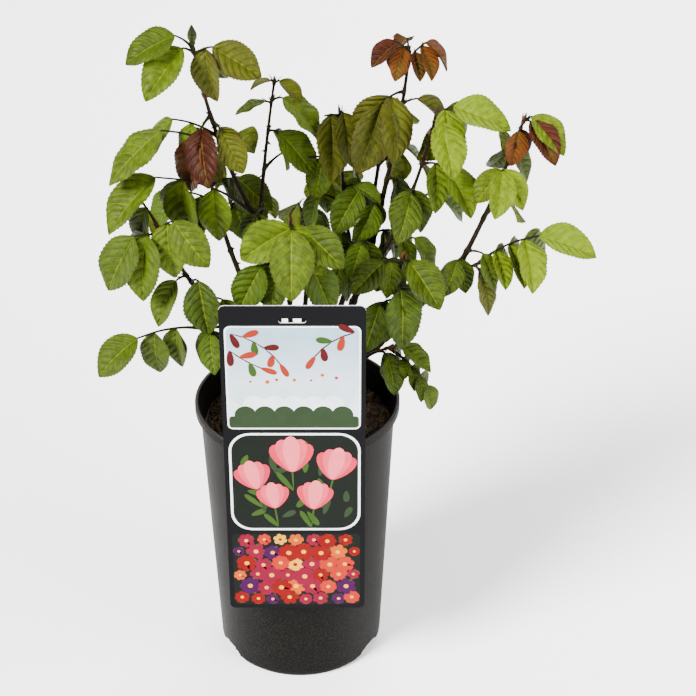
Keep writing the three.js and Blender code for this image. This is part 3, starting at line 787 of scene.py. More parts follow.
class LeafSettings(bpy.types.PropertyGroup):
    """Sizes and colours of the leaves."""

    thickness: metres("Thickness", "Thickness of a leaflet", 0.0004)
    tooth: portion("Tooth", "Depth of a tooth as a share of the leaflet's length", 0.022)
    quilt: portion("Quilt", "Height of the leaf between two veins as a share of its length", 0.02)
    rib: metres("Rib", "Height of the midrib below the leaf", 0.0009)
    teeth: whole("Teeth", "Teeth down each side", 14)
    veins: whole("Veins", "Side veins in the length of a leaflet", 7)
    # Partly painted light: the pale tint is a young leaf's green made brighter, for the leaves at the right
    # of the crown that face up towards the light.
    pale: hue("Pale leaf", "Upper face of the palest leaf", (0.07, 0.105, 0.0002))
    young: hue("Young leaf", "Upper face of a young leaf", (0.051, 0.081, 0.0003))
    green: hue("Green leaf", "Upper face of a grown leaf", (0.026, 0.044, 0.0003))
    dark: hue("Dark leaf", "Upper face of an old, shaded leaf", (0.022, 0.041, 0.0004))
    olive: hue("Olive leaf", "Upper face of a leaf turning from bronze to green", (0.036, 0.041, 0.001))
    bronze: hue("Bronze leaf", "Upper face of a new leaf", (0.029, 0.0034, 0.0016))


class StemSettings(bpy.types.PropertyGroup):
    """Sizes and colours of the canes, shoots and stalks."""

    relief: metres("Relief", "Height of the bark's grain", 0.00035)
    rough: metres("Rootstock relief", "Height of the rootstock's rougher bark", 0.0011)
    swelling: portion("Swelling", "How much thicker a stem is where a leaf stands", 0.3)
    prickle: metres("Prickle", "Length of a prickle", 0.0032)
    spacing: metres("Prickle spacing", "Length of stem for each place where a prickle may stand", 0.007)
    chance: portion("Prickle chance", "Share of those places that have one", 0.42)
    old: hue("Old bark", "Bark at the foot of a cane", (0.012, 0.007, 0.003))
    fresh: hue("Fresh bark", "Skin of a green shoot", (0.008, 0.0085, 0.0012))
    ripe: hue("Ripe bark", "Sunlit skin of a shoot", (0.0045, 0.0015, 0.001))


class PotSettings(bpy.types.PropertyGroup):
    """Sizes and colours of the pot."""

    wall: metres("Wall", "Thickness of the wall", 0.002)
    edge: metres("Rim edge", "Radius of the rim's rounded edge", 0.0012)
    plastic: hue("Plastic", "Dark moulded plastic", (0.0016, 0.0013, 0.0009))
    speck: hue("Speck", "Fine pale grain in the plastic", (0.02, 0.0175, 0.0145))


class SoilSettings(bpy.types.PropertyGroup):
    """Sizes and colours of the compost."""

    crumb: metres("Crumb", "Radius of a crumb", 0.0016)
    density: amount("Crumbs", "Crumbs on each square metre", 300000)
    fibres: amount("Fibres", "Fibres on each square metre", 9000)
    seed: whole("Seed", "Seed of the crumbs", 7)
    earth: hue("Compost", "Moist compost", (0.022, 0.0135, 0.0075))
    fibre: hue("Fibre", "Dry fibre in the compost", (0.09, 0.055, 0.026))


class CardSettings(bpy.types.PropertyGroup):
    """Colours of the printed card."""

    layer: metres("Ink", "Height of one layer of ink", 0.00001)
    sky: hue("Sky", "Pale upper field", (0.25, 0.36, 0.44))
    paper: hue("White", "White bands and lines", (0.72, 0.74, 0.76))
    night: hue("Border", "Near-black border", (0.0008, 0.0008, 0.0014))
    deep: hue("Deep green", "Field behind the blossoms", (0.003, 0.0045, 0.0028))
    pink: hue("Pink", "Outer petals", (0.42, 0.018, 0.045))
    blush: hue("Blush", "Inner petals", (0.62, 0.1, 0.13))


class StageSettings(bpy.types.PropertyGroup):
    """Floor, lights and camera."""

    floor: hue("Floor", "Plain pale floor", (0.96, 0.96, 0.96))
    lens: focal("Lens", "Focal length of the camera", 97.5)
    distance: metres("Distance", "From the camera to the point that it looks at", 1.63)
    elevation: amount("Elevation", "Degrees above the horizon that the camera looks from", 32.2)
    key: amount("Key light", "Strength of the broad main light", 14.6)
    side: watts("Side light", "Power of the right light", 110)
    around: amount("Light all round", "Strength of the dim even light", 0.22)
    wall: amount("Wall", "How bright the studio's wall looks", 2.6)


# -------- finishes of the plant

TINTS = ("pale", "young", "green", "dark", "olive", "bronze")
LEAF_MAP = "leaf"
SHADE = "shade"
NEW = ("bronze", "olive")
VEIN_LEAN = (0.1, 0.17)  # how far forward a side vein has come at the edge: evenly, and by its curve
VEIN_SHIFT = 3  # how far a leaflet's own shade moves its veins, in veins
RIBS = {"bronze": (0.19, 0.11, 0.025), "olive": (0.15, 0.145, 0.02), "green": (0.2, 0.23, 0.018)}
UNDERSIDE = {"new": (0.1, 0.045, 0.012), "grown": (0.12, 0.145, 0.012)}
RED = {
    "low": (0.035, 0.006, 0.0008), "high": (0.085, 0.022, 0.0012), "heart": (0.05, 0.036, 0.001),
    "rust": (0.04, 0.016, 0.002), "edge": (0.04, 0.02, 0.003),
}


def scaled(colour, by):
    return tuple(min(1, value * by) for value in colour)


def mixed(a, b, share):
    return tuple(x + (y - x) * share for x, y in zip(a, b))


def vein_lean(across):
    """How far forward a side vein has come, for numbers, arrays and terms alike."""
    return across * VEIN_LEAN[0] + across * across * VEIN_LEAN[1]


def leaf_finish(tint, under, settings):
    """A leaflet's face: veins, patches of lighter and darker green, a fine net of small veins, and painted
    shade in the grooves beside the veins.
    """
    base = tuple(getattr(settings, tint))
    new, fresh = tint in NEW, tint in ("pale", "young")
    vein = mixed(base, RIBS.get(tint, RIBS["green"]), 0.48)
    if under:
        base = mixed(base, UNDERSIDE["new" if new else "grown"], 0.68)
    rough, gloss = (0.62, 0.05) if under else (0.4, 0.09)
    paint = Finish(f"leaf_{tint}_{'under' if under else 'upper'}", gloss)
    spot = paint.node("ShaderNodeUVMap", {"uv_map": LEAF_MAP})
    across = abs(paint.split(spot, "X") * 2 - 1)
    lengthwise = paint.split(spot, "Y")
    shade = paint.node("ShaderNodeAttribute", {"attribute_name": SHADE}, None, "Fac")
    shift = shade * VEIN_SHIFT + paint.noise(120, 1) * 0.4
    phase = (lengthwise - vein_lean(across)) * settings.veins + shift
    side_vein = 1 - abs((phase + 0.5).fraction() - 0.5).between(0.01, 0.09)
    puff = (1 - abs(phase.fraction() * 2 - 1)).between(0, 0.9) * (1 - across.between(0.7, 1) * 0.7)
    midrib = 1 - across.between(0.015, 0.065)
    veins = midrib.most(side_vein * (1 - across.between(0.8, 1)) * (paint.noise(90, 2) * 0.9))
    blotches = paint.noise(190, 3).between(0.3, 0.7)
    patches = paint.noise(48, 2) * 0.35 + blotches * 0.3 + shade * 0.35
    if tint == "bronze":
        ripe = shade.between(0.25, 0.75)
        low = paint.mix(ripe, scaled(base, 0.6), RED["low"])
        high = paint.mix(ripe, scaled(base, 1.6), RED["high"])
        blade = paint.mix(patches.between(0.25, 0.75), low, high)
        heart = (1 - across.between(0.2, 0.8)) * paint.noise(42, 2).between(0.42, 0.62)
        blade = paint.mix(heart * 0.75, blade, RED["heart"])
    else:
        blade = paint.mix(patches.between(0.2, 0.8), scaled(base, 0.5), scaled(base, 1.5))
    if tint == "olive":
        rusty = across.between(0.35, 1) * 0.22 + paint.noise(60, 2).between(0.5, 0.7) * 0.16
        blade = paint.mix(rusty, blade, RED["rust"])
    if fresh or tint == "green":
        blade = paint.mix(across.between(0.9, 1) * 0.35, blade, RED["edge"])
    net = paint.cells(620, "DISTANCE_TO_EDGE").between(0, 0.12)
    blade = paint.mix((1 - net) * 0.14, blade, vein)
    # Painted shade: the blade darkens in the grooves beside the veins and towards the edge, less on pale and
    # young leaves.
    blade = paint.mix((1 - puff) * (0.17 if fresh else 0.32), blade, scaled(base, 0.5))
    colour = paint.mix(veins * (0.85 if new else 0.7), blade, vein)
    sign = 1 if under else -1
    height = veins * (0.4 * sign) - puff * (0.9 * sign) + net * 0.2 + paint.noise(210, 3)
    return paint.done(colour, rough + paint.noise(180) * 0.16 - 0.06, height, 0.8, 0.001)


@lru_cache(maxsize=1)
def leaf_finishes():
    settings = bpy.context.scene.rose_leaf
    return [leaf_finish(tint, under, settings) for tint in TINTS for under in (False, True)]


def bark_finish(name, low, high, grain, rough):
    """Bark with long streaks and small pale pores, from its low colour to its high one."""
    paint = Finish(name, 0.045)
    lengthwise = paint.node("ShaderNodeMapping", None, {"Vector": paint.place, "Scale": (420, 420, 60)})
    streaks = paint.noise(1, 4, place=lengthwise)
    patches = paint.noise(45, 2).between(0.35, 0.65)
    skin = paint.mix(patches * 0.7 + streaks * 0.3, low, high)
    pores = 1 - paint.cells(900).between(0.12, 0.3)
    colour = paint.mix(pores * 0.4, skin, mixed(low, (0.1, 0.075, 0.045), 0.6))
    return paint.done(colour, rough + streaks * 0.25, streaks * 0.7 + pores * 0.3, grain, 0.0005)


@lru_cache(maxsize=1)
def stem_finishes():
    stem = bpy.context.scene.rose_stem
    old, fresh, ripe = tuple(stem.old), tuple(stem.fresh), tuple(stem.ripe)
    return {
        "stock": bark_finish("old_bark", old, scaled(old, 1.9), 0.9, 0.6),
        "cane": bark_finish("cane_bark", mixed(old, ripe, 0.5), fresh, 0.6, 0.45),
        "shoot": bark_finish("shoot_bark", ripe, mixed(fresh, ripe, 0.45), 0.35, 0.36),
        "stalk": bark_finish("stalk_skin", mixed(fresh, ripe, 0.7), scaled(fresh, 1.2), 0.2, 0.4),
        "prickle": bark_finish("prickle_horn", (0.06, 0.012, 0.007), (0.1, 0.035, 0.015), 0.1, 0.35),
    }


# -------- stems

BARK_GRAIN = 700.0  # bumps of bark in a metre
NODE_REACH = 2.6  # how far along a stem the swelling at a leaf reaches, in millimetres
FINE = {"cane": 1.4, "shoot": 1.8, "stalk": 2.2, "stock": 1.2, "prickle": 2}  # steps along a stem
SIDES = {"cane": 16, "shoot": 12, "stalk": 8, "stock": 28}
SKIN = {"cane": 1, "shoot": 0.5, "stalk": 0.2}  # share of the bark's relief
PRICKLE = {"sunk": 0.85, "lean": 112, "shape": (1.5, 0.75, 1), "lengths": (0.5, 1.1), "seed": 5}


def fine_path(points, radii, step):
    """A smooth path through the points, with a radius for each of its own points."""
    points = [Vector(point) for point in points]
    ends = [points[0] * 2 - points[1], *points, points[-1] * 2 - points[-2]]
    fine, girths = [], []
    for i in range(len(points) - 1):
        before, a, b, after = ends[i : i + 4]
        pieces = max(1, round((b - a).length / step))
        for k in range(pieces):
            t = k / pieces
            fine.append(0.5 * (
                2 * a + (b - before) * t + (2 * before - 5 * a + 4 * b - after) * t**2
                + (3 * a - before - 3 * b + after) * t**3
            ))
            girths.append(blend((radii[i], radii[i + 1]), t))
    return [*fine, points[-1]], [*girths, radii[-1]]


def curve_source(name, paths):
    """A curve object of poly splines, in metres, with a radius at each point."""
    curve = bpy.data.curves.new(name, "CURVE")
    curve.dimensions = "3D"
    for points, radii in paths:
        spline = curve.splines.new("POLY")
        spline.points.add(len(points) - 1)
        for place, point, radius in zip(spline.points, points, radii):
            place.co = (*(point * MM), 1)
            place.radius = radius * MM
    return linked(name, curve)


@lru_cache(maxsize=1)
def tube_tree():
    """A tube along each curve, whose skin is raised by noise."""
    tree, given = geometry_tree("stem_tube", {
        "Sides": "Int", "Relief": "Float", "Grain": "Float", "Material": "Material",
    })
    ring = tree.node("GeometryNodeCurvePrimitiveCircle", None, {"Resolution": given["Sides"], "Radius": 1})
    radius = tree.node("GeometryNodeInputRadius")
    tube = tree.node("GeometryNodeCurveToMesh", None, {
        "Curve": given["Geometry"], "Profile Curve": ring, "Scale": radius, "Fill Caps": True,
    })
    spot = tree.node("ShaderNodeVectorMath", {"operation": "MULTIPLY"}, {
        0: tree.node("GeometryNodeInputPosition"), 1: (1, 1, 0.3),
    })
    grain = tree.node("ShaderNodeTexNoise", None, {"Vector": spot, "Scale": given["Grain"], "Detail": 2})
    lift = (grain - 0.5) * given["Relief"] * 2
    offset = tree.times(tree.node("GeometryNodeInputNormal"), lift)
    raised = tree.node("GeometryNodeSetPosition", None, {"Geometry": tube, "Offset": offset})
    smooth = tree.node("GeometryNodeSetShadeSmooth", None, {"Geometry": raised})
    return end_tree(tree, smooth, given["Material"])


def tubes(name, paths, kind):
    """Stems of one kind along their paths."""
    stem = bpy.context.scene.rose_stem
    relief = stem.rough if kind == "stock" else stem.relief * SKIN[kind]
    return grown(curve_source(name + "_line", paths), tube_tree(), name, {
        "Sides": SIDES[kind], "Relief": relief, "Grain": BARK_GRAIN, "Material": stem_finishes()[kind],
    })


def taper(ends, count):
    return [blend(ends, i / (count - 1)) for i in range(count)]


def stem_path(limb, places, step):
    """The fine path of a limb from its parent's axis. It is thicker where a leaf or shoot stands."""
    path = limb["path"]
    radii = [limb["radius"][0] * STEM["foot"], *taper(limb["radius"], len(path))]
    points, radii = fine_path([limb["start"], *path], radii, step)
    swelling = bpy.context.scene.rose_stem.swelling
    swelled = []
    for point, radius in zip(points, radii):
        near = max((math.exp(-((point - place).length / NODE_REACH) ** 2) for place in places), default=0)
        swelled.append(radius * (1 + swelling * near))
    return points, swelled


@lru_cache(maxsize=1)
def prickle_tree():
    """Prickles that stand out all round a stem and point a little down it."""
    tree, given = geometry_tree("stem_prickles", {
        "Spacing": "Float", "Chance": "Float", "Length": "Float", "Seed": "Int", "Material": "Material",
    })
    tree.node("GeometryNodeCurveToPoints", {"mode": "LENGTH"}, {
        "Curve": given["Geometry"], "Length": given["Spacing"],
    })
    spots = tree.last
    points, turn = Term(tree, spots.outputs["Points"]), Term(tree, spots.outputs["Rotation"])
    angle = tree.random(0.0, 2 * math.pi, given["Seed"])
    spin = tree.node("FunctionNodeAxisAngleToRotation", None, {"Axis": (0, 0, 1), "Angle": angle})
    faced = tree.node("FunctionNodeRotateRotation", {"rotation_space": "LOCAL"}, {0: turn, 1: spin})
    reach = tree.vector(tree.node("GeometryNodeInputRadius") * PRICKLE["sunk"])
    out = tree.node("FunctionNodeRotateVector", None, {"Vector": reach, "Rotation": faced})
    shifted = tree.node("GeometryNodeSetPosition", None, {"Geometry": points, "Offset": out})
    cone = tree.node("GeometryNodeMeshCone", {"fill_type": "TRIANGLE_FAN"}, {
        "Vertices": 6, "Side Segments": 2, "Radius Top": 0.02, "Radius Bottom": 0.3, "Depth": 1,
    })
    leaned = tree.node("GeometryNodeTransform", None, {
        "Geometry": cone, "Rotation": (0, math.radians(PRICKLE["lean"]), 0), "Scale": PRICKLE["shape"],
    })
    length = tree.random(*PRICKLE["lengths"], given["Seed"]) * given["Length"]
    kept = tree.node("FunctionNodeRandomValue", {"data_type": "BOOLEAN"}, {
        "Probability": given["Chance"], "Seed": given["Seed"] + 3,
    }, 3)
    prickles = tree.node("GeometryNodeInstanceOnPoints", None, {
        "Points": shifted, "Selection": kept, "Instance": leaned, "Rotation": faced,
        "Scale": tree.vector(length, length, length),
    })
    return end_tree(tree, prickles, given["Material"])


# -------- leaflets

COLUMNS = np.array([-1, -0.93, -0.8, -0.62, -0.43, -0.25, -0.08, 0, 0.08, 0.25, 0.43, 0.62, 0.8, 0.93, 1])
TOOTH_STEPS = ((0, 0), (0.45, 0.5), (0.85, 1))
TOOTHED = (0.05, 0.965)
BLADE = {
    "first": 0.02, "last": 0.985, "widest": 0.424, "base_power": 0.7, "tip_power": 0.95, "narrowest": 0.5,
    "bitten": 0.35, "tooth_span": 0.97, "soft_fold": 0.1, "rib_width": 0.8, "rib_trough": 0.5,
    "wave_shift": 0.37,
}


@lru_cache(maxsize=1)
def blade_grid():
    """Rows down a leaflet with each row's share of a tooth, and the faces of its two sides."""
    teeth = bpy.context.scene.rose_leaf.teeth
    rows, bite = [0.0, BLADE["first"]], [0.0, 0.0]
    for tooth in range(teeth):
        for step, depth in TOOTH_STEPS:
            rows.append(blend(TOOTHED, (tooth + step) / teeth))
            bite.append(depth)
    rows.append(BLADE["last"])
    bite.append(0.0)
    deep, wide = len(rows), len(COLUMNS)
    apex = deep * wide
    upper = np.arange(apex).reshape(deep, wide)
    lower = upper.copy()
    lower[1:, 1:-1] = apex + 1 + np.arange((deep - 1) * (wide - 2)).reshape(deep - 1, wide - 2)
    faces, sides = [], []
    for side, grid in enumerate((upper.tolist(), lower.tolist())):
        for i in range(deep - 1):
            for j in range(wide - 1):
                faces.append([grid[i][j], grid[i + 1][j], grid[i + 1][j + 1], grid[i][j + 1]])
        faces += [[grid[-1][j], apex, grid[-1][j + 1]] for j in range(wide - 1)]
        sides += [side] * (len(faces) - len(sides))
    faces = [face[::-1] if side else face for face, side in zip(faces, sides)]
    return np.array(rows), np.array(bite), faces, sides


def blade_points(leaflet, look, settings):
    """The points of one leaflet in millimetres, with its map from root to tip and edge to edge."""
    rows, bite = blade_grid()[:2]
    length, curl = leaflet["length"], math.radians(leaflet["curl"])
    root = np.array(leaflet["root"])
    forward, upper, side = (np.array(axis) for axis in blade_axes(leaflet))
    t, v = rows[:, None], COLUMNS[None, :]
    outer = np.abs(v)

    # The outline, with its teeth.
    widest = BLADE["widest"]
    swell = np.clip(rows / widest, 0, None) ** BLADE["base_power"]
    narrow = np.clip((1 - rows) / (1 - widest), 0, None) ** BLADE["tip_power"]
    half = np.maximum(swell * narrow * LEAFLET["width"] * length, BLADE["narrowest"])
    envelope = np.sin(np.pi * np.clip((rows - BLADE["first"]) / BLADE["tooth_span"], 0, 1)) ** 0.5
    edge = settings.tooth * length * (bite - BLADE["bitten"]) * envelope
    x = v * half[:, None] + np.sign(v) * (outer == 1) * edge[:, None]

    # The upper face: folded along the midrib, arched, quilted between the veins and waved at the edge.
    fold = np.sqrt(outer**2 + BLADE["soft_fold"] ** 2) - BLADE["soft_fold"]
    phase = (t - vein_lean(outer)) * settings.veins + look["shade"] * VEIN_SHIFT
    quilt = np.abs(np.sin(np.pi * phase)) ** 0.8 * np.clip(outer * 5, 0, 1) * (1 - outer**4)
    z = half[:, None] * (fold * look["fold"] - look["arch"] * outer**2)
    z += settings.quilt * length * quilt * np.sin(np.pi * np.clip(t, 0.04, 0.96))
    wave = np.sin(2 * np.pi * (t * look["waves"] + look["phase"] + (v > 0) * BLADE["wave_shift"]))
    z += half[:, None] * look["wave"] * wave * outer**2
    midrib = np.exp(-((x / BLADE["rib_width"]) ** 2))
    z -= BLADE["rib_trough"] * midrib * (1 - 0.6 * t)
    under = z - settings.thickness / MM - settings.rib / MM * midrib * (1 - 0.75 * t)

    # The whole blade is twisted and bent down evenly.
    twist = x * look["twist"] * t
    bend = curl * t
    reach, drop = np.sin(bend) / curl * length, (1 - np.cos(bend)) / curl * length

    def placed(height):
        point = forward * reach[..., None] - upper * drop[..., None]
        up = upper * np.cos(bend)[..., None] + forward * np.sin(bend)[..., None]
        return root + point + side * x[..., None] + up * height[..., None]

    top, low = placed(z + twist), placed(under + twist)
    tip = root + length * (forward * math.sin(curl) - upper * (1 - math.cos(curl))) / curl
    spots = np.stack([0.5 + 0.5 * v + 0 * t, t + 0 * v], 2)
    points = np.concatenate([top.reshape(-1, 3), tip[None], low[1:, 1:-1].reshape(-1, 3)])
    maps = np.concatenate([spots.reshape(-1, 2), [[0.5, 1]], spots[1:, 1:-1].reshape(-1, 2)])
    return points, maps


LOOK = {
    "fold": (0.28, 0.64), "arch": (0.05, 0.26), "wave": (0.03, 0.1), "waves": (1.4, 2.6), "phase": (0, 1),
    "twist": (-0.16, 0.16), "shade": (0, 1),
}
NEW_FOLD = (0.42, 0.72)


def leaf_look(draw, tint):
    """How one leaflet departs from a flat blade. New leaves are folded more."""
    ranges = {**LOOK, "fold": NEW_FOLD} if tint in NEW else LOOK
    return {name: draw.between(*ends) for name, ends in ranges.items()}


def leaflet_piece(name, shoot, draw):
    """All the leaflets of one mass."""
    settings = bpy.context.scene.rose_leaf
    blade_faces, blade_sides = blade_grid()[2:]
    blades, maps, shades, picks = [], [], [], []
    for leaf in shoot["leaves"]:
        tint = TINTS.index(leaf["tint"])
        for leaflet in leaf["leaflets"]:
            look = leaf_look(draw, leaf["tint"])
            points, spots = blade_points(leaflet, look, settings)
            blades.append((points, blade_faces))
            maps.append(spots)
            shades.append(np.full(len(points), look["shade"]))
            picks += [2 * tint + side for side in blade_sides]
    piece = mesh_piece(name, *gather(blades), leaf_finishes(), picks, sharp=60)
    mesh = piece.data
    corner = np.zeros(len(mesh.loops), np.int32)
    mesh.loops.foreach_get("vertex_index", corner)
    layer = mesh.uv_layers.new(name=LEAF_MAP)
    layer.uv.foreach_set("vector", np.concatenate(maps)[corner].astype(np.float32).ravel())
    shade = mesh.attributes.new(SHADE, "FLOAT", "POINT")
    shade.data.foreach_set("value", np.concatenate(shades).astype(np.float32))
    return piece


STIPULE = {"length": 9, "width": 1.3, "bow": 0.22, "tip_bow": 0.32, "thickness": 0.35, "foot": 1.2}
STIPULE_ROWS = ((0, 0.35), (0.4, 1), (0.75, 0.8))  # share of the length, and of the width


def stipule(base, forward, side):
    """One of the two narrow wings at a stalk's foot."""
    up = forward.cross(side).normalized() * STIPULE["thickness"]
    length = STIPULE["length"]
    points = []
    for t, wide in STIPULE_ROWS:
        middle = base + forward * (length * t) + side * (length * STIPULE["bow"] * t * t)
        points += [middle - up, middle + side * (STIPULE["width"] * wide), middle + up]
    points.append(base + forward * length + side * (length * STIPULE["tip_bow"]))
    faces = [(0, 2, 1), *((6 + k, 6 + (k + 1) % 3, 9) for k in range(3))]
    for ring in (0, 3):
        faces += [(ring + k, ring + (k + 1) % 3, ring + (k + 1) % 3 + 3, ring + k + 3) for k in range(3)]
    return points, faces


def across_from(direction, least):
    """A level direction across another one, or along +X where that one is upright."""
    level = direction.cross(Vector((0, 0, 1)))
    return level.normalized() if level.length > least else Vector((1, 0, 0))


def stipule_piece(name, shoot):
    wings = []
    for leaf in shoot["leaves"]:
        foot, after = leaf["path"][:2]
        forward = (after - foot).normalized()
        across = across_from(forward, 0.1)
        wings += [stipule(foot + forward * STIPULE["foot"], forward, across * sign) for sign in (1, -1)]
    return welded(mesh_piece(name, *gather(wings), [stem_finishes()["stalk"]]), TRIM_WELD)


SLIM = {"bow": 0.4, "thickness": 0.3}


def slim_leaf(foot, up, out, rows, tip):
    """A narrow boat-shaped leaf along up. Its rows give height, distance off the axis and half width."""
    side, thick = up.cross(out), out * SLIM["thickness"]
    points = []
    for height, radius, half in rows:
        middle = foot + out * radius + up * height
        edge = out * (half * SLIM["bow"])
        points += [middle + side * half - edge, middle + thick, middle - side * half - edge, middle - thick]
    points.append(foot + out * tip[0] + up * tip[1])
    faces = [(0, 1, 2, 3)]
    last = 4 * (len(rows) - 1)
    for ring in range(0, last, 4):
        faces += [(ring + k, ring + 4 + k, ring + 4 + (k + 1) % 4, ring + (k + 1) % 4) for k in range(4)]
    faces += [(last + k, last + 4, last + (k + 1) % 4) for k in range(4)]
    return points, faces


TUFT = {"rows": ((-1, 0.5, 0.8), (2.4, 1.5, 1.7), (5.4, 2.1, 1.6), (8.2, 2.2, 0.9)), "tip": (1.9, 11)}


def tuft(foot, up, count, reach, draw):
    """A closed tuft of new leaves. Reach scales it: 1 is 11 mm long."""
    level = across_from(up, 0.05)
    leaves = []
    for i in range(count):
        out = Matrix.Rotation(2 * math.pi * i / count + draw(0.5), 3, up) @ level
        wide, tall = reach * draw.between(0.8, 1.2), reach * draw.between(0.75, 1.1)
        rows = [(height * tall, radius * wide, half * wide) for height, radius, half in TUFT["rows"]]
        leaves.append(slim_leaf(foot, up, out, rows, (TUFT["tip"][0] * wide, TUFT["tip"][1] * tall)))
    return gather(leaves)


# -------- operators of the plant


class ROSE_OT_canes(bpy.types.Operator):
    """Grows the rootstock and the canes with their bark"""

    bl_idname = "rose.canes"
    bl_label = "Canes"

    SCARS = (0.18, 0.4, 0.64)  # shares of a cane's length where it is thicker
    TRUNK = ((0, 16), (4, 15.5), (8, 13), (13, 10), (18, 11.5), (23, 12.5), (27, 9))
    TRUNK_TOP = (29.5, 3)
    SUNK = 6
    STUBS = ((30, 36), (110, 30), (200, 52), (255, 46), (318, 40))
    STUB = {"foot": 14, "lengths": (0, 9, 17), "radii": [4.4, 3.8, 3.4]}

    def execute(self, context):
        canes, shoots = shrub()
        for name, cane in canes.items():
            places = [shoot["start"] for shoot in shoots.values() if shoot["cane"] == name]
            places += [along(cane["path"], share)[0] for share in self.SCARS]
            keep(tubes(name + "_bark", [stem_path(cane, places, FINE["cane"])], "cane"), "bark", name)
        keep(self.stock(), "bark", "rootstock")
        return {"FINISHED"}

    def stock(self):
        """The knobbly graft that the canes stand on, with cut stubs of old canes."""
        foot = SOIL_TOP - self.SUNK
        path = [Vector((0.4 * math.sin(h), 0.5 * math.cos(h * 1.7), foot + h)) for h, _ in self.TRUNK]
        path.append(Vector((0, 0, foot + self.TRUNK_TOP[0])))
        radii = [radius for _, radius in (*self.TRUNK, self.TRUNK_TOP)]
        limbs = [fine_path(path, radii, FINE["stock"])]
        start = Vector((0, 0, foot + self.STUB["foot"]))
        for heading, lean in self.STUBS:
            forward = pointing(heading, 90 - lean)
            stub = [start + forward * length for length in self.STUB["lengths"]]
            limbs.append(fine_path(stub, self.STUB["radii"], FINE["cane"]))
        return tubes("rootstock_bark", limbs, "stock")


class ROSE_OT_foliage(bpy.types.Operator):
    """Grows every mass of foliage: its shoot, its leaf stalks and its leaflets"""

    bl_idname = "rose.foliage"
    bl_label = "Foliage"

    def execute(self, context):
        for i, (name, shoot) in enumerate(shrub()[1].items()):
            leaves = leaflet_piece("leaves_" + name, shoot, Seeded(SEEDS["looks"] + i))
            keep(leaves, "leaf", "foliage_" + name)
            keep(self.twigs(name, shoot), "bark")
        return {"FINISHED"}

    @staticmethod
    def twigs(name, shoot):
        """A mass's shoot with its leaf stalks and stipules."""
        places = [along(shoot["path"], share)[0] for share in shoot["nodes"]]
        stem = tubes("shoot_" + name, [stem_path(shoot, places, FINE["shoot"])], "shoot")
        stalks = []
        for leaf in shoot["leaves"]:
            radii = taper(STALK["radius"], len(leaf["path"]))
            radii[0] *= STALK["foot"]
            stalks.append(fine_path(leaf["path"], radii, FINE["stalk"]))
        stalk = tubes("stalks_" + name, stalks, "stalk")
        return join("twigs_" + name, [stem, stalk, stipule_piece("stipules_" + name, shoot)])


class ROSE_OT_prickles(bpy.types.Operator):
    """Sets prickles on the canes and the shoots"""

    bl_idname = "rose.prickles"
    bl_label = "Prickles"

    def execute(self, context):
        stem = context.scene.rose_stem
        canes, shoots = shrub()
        limbs = [stem_path(limb, [], FINE["prickle"]) for limb in [*canes.values(), *shoots.values()]]
        piece = grown(curve_source("prickle_line", limbs), prickle_tree(), "prickles", {
            "Spacing": stem.spacing, "Chance": stem.chance, "Length": stem.prickle, "Seed": PRICKLE["seed"],
            "Material": stem_finishes()["prickle"],
        })
        keep(welded(piece, TRIM_WELD), "bark")
        return {"FINISHED"}


class ROSE_OT_tips(bpy.types.Operator):
    """Sets a tuft of new leaves on each shoot's tip and a small bud above each leaf stalk"""

    bl_idname = "rose.tips"
    bl_label = "Shoot tips"

    TIP = {"leaves": 3, "reach": (0.7, 1)}
    KNOT = {"along": 0.72, "sunk": 3, "leaves": 5}  # on the tallest shoot, whose tip has the bud
    SIDE_BUD = {"last": 0.9, "rise": 2, "lean": 0.35, "leaves": 2, "reach": 0.38}

    def execute(self, context):
        tufts = []
        for i, (name, shoot) in enumerate(shrub()[1].items()):
            tufts += self.tufts(shoot, name == "left_tall", Seeded(SEEDS["tips"] + i))
        piece = mesh_piece("new_leaves", *gather(tufts), [self.finish()])
        keep(welded(piece, TRIM_WELD), "leaf")
        return {"FINISHED"}

    def tufts(self, shoot, tall, draw):
        """A tuft at a shoot's tip, or the knot on the tallest shoot, and a bud in each leaf's corner."""
        end, forward = shoot["path"][-1], along(shoot["path"], 1)[1]
        if tall:
            place, up = along(shoot["path"], self.KNOT["along"])
            yield tuft(place - up * self.KNOT["sunk"], up, self.KNOT["leaves"], 1, draw)
        else:
            yield tuft(end - forward, forward, self.TIP["leaves"], draw.between(*self.TIP["reach"]), draw)
        bud = self.SIDE_BUD
        for leaf, share in zip(shoot["leaves"], shoot["nodes"]):
            if share > bud["last"]:
                continue
            foot, up = along(shoot["path"], share)
            out = leaf["path"][1] - foot
            out = (out - up * out.dot(up)).normalized()
            start = foot + out * blend(shoot["radius"], share) + up * bud["rise"]
            yield tuft(start, (up + out * bud["lean"]).normalized(), bud["leaves"], bud["reach"], draw)

    @staticmethod
    def finish():
        """New growth: wine red mottled with orange brown, with a fine darker grain."""
        paint = Finish("new_leaf", 0.12)
        young = paint.mix(paint.noise(160, 2).between(0.4, 0.65), (0.03, 0.004, 0.004), (0.06, 0.03, 0.004))
        colour = paint.mix(paint.noise(900, 2) * 0.5, young, (0.012, 0.002, 0.002))
        return paint.done(colour, 0.4 + paint.noise(500) * 0.2, paint.noise(1400, 2), 0.4, 0.0003)


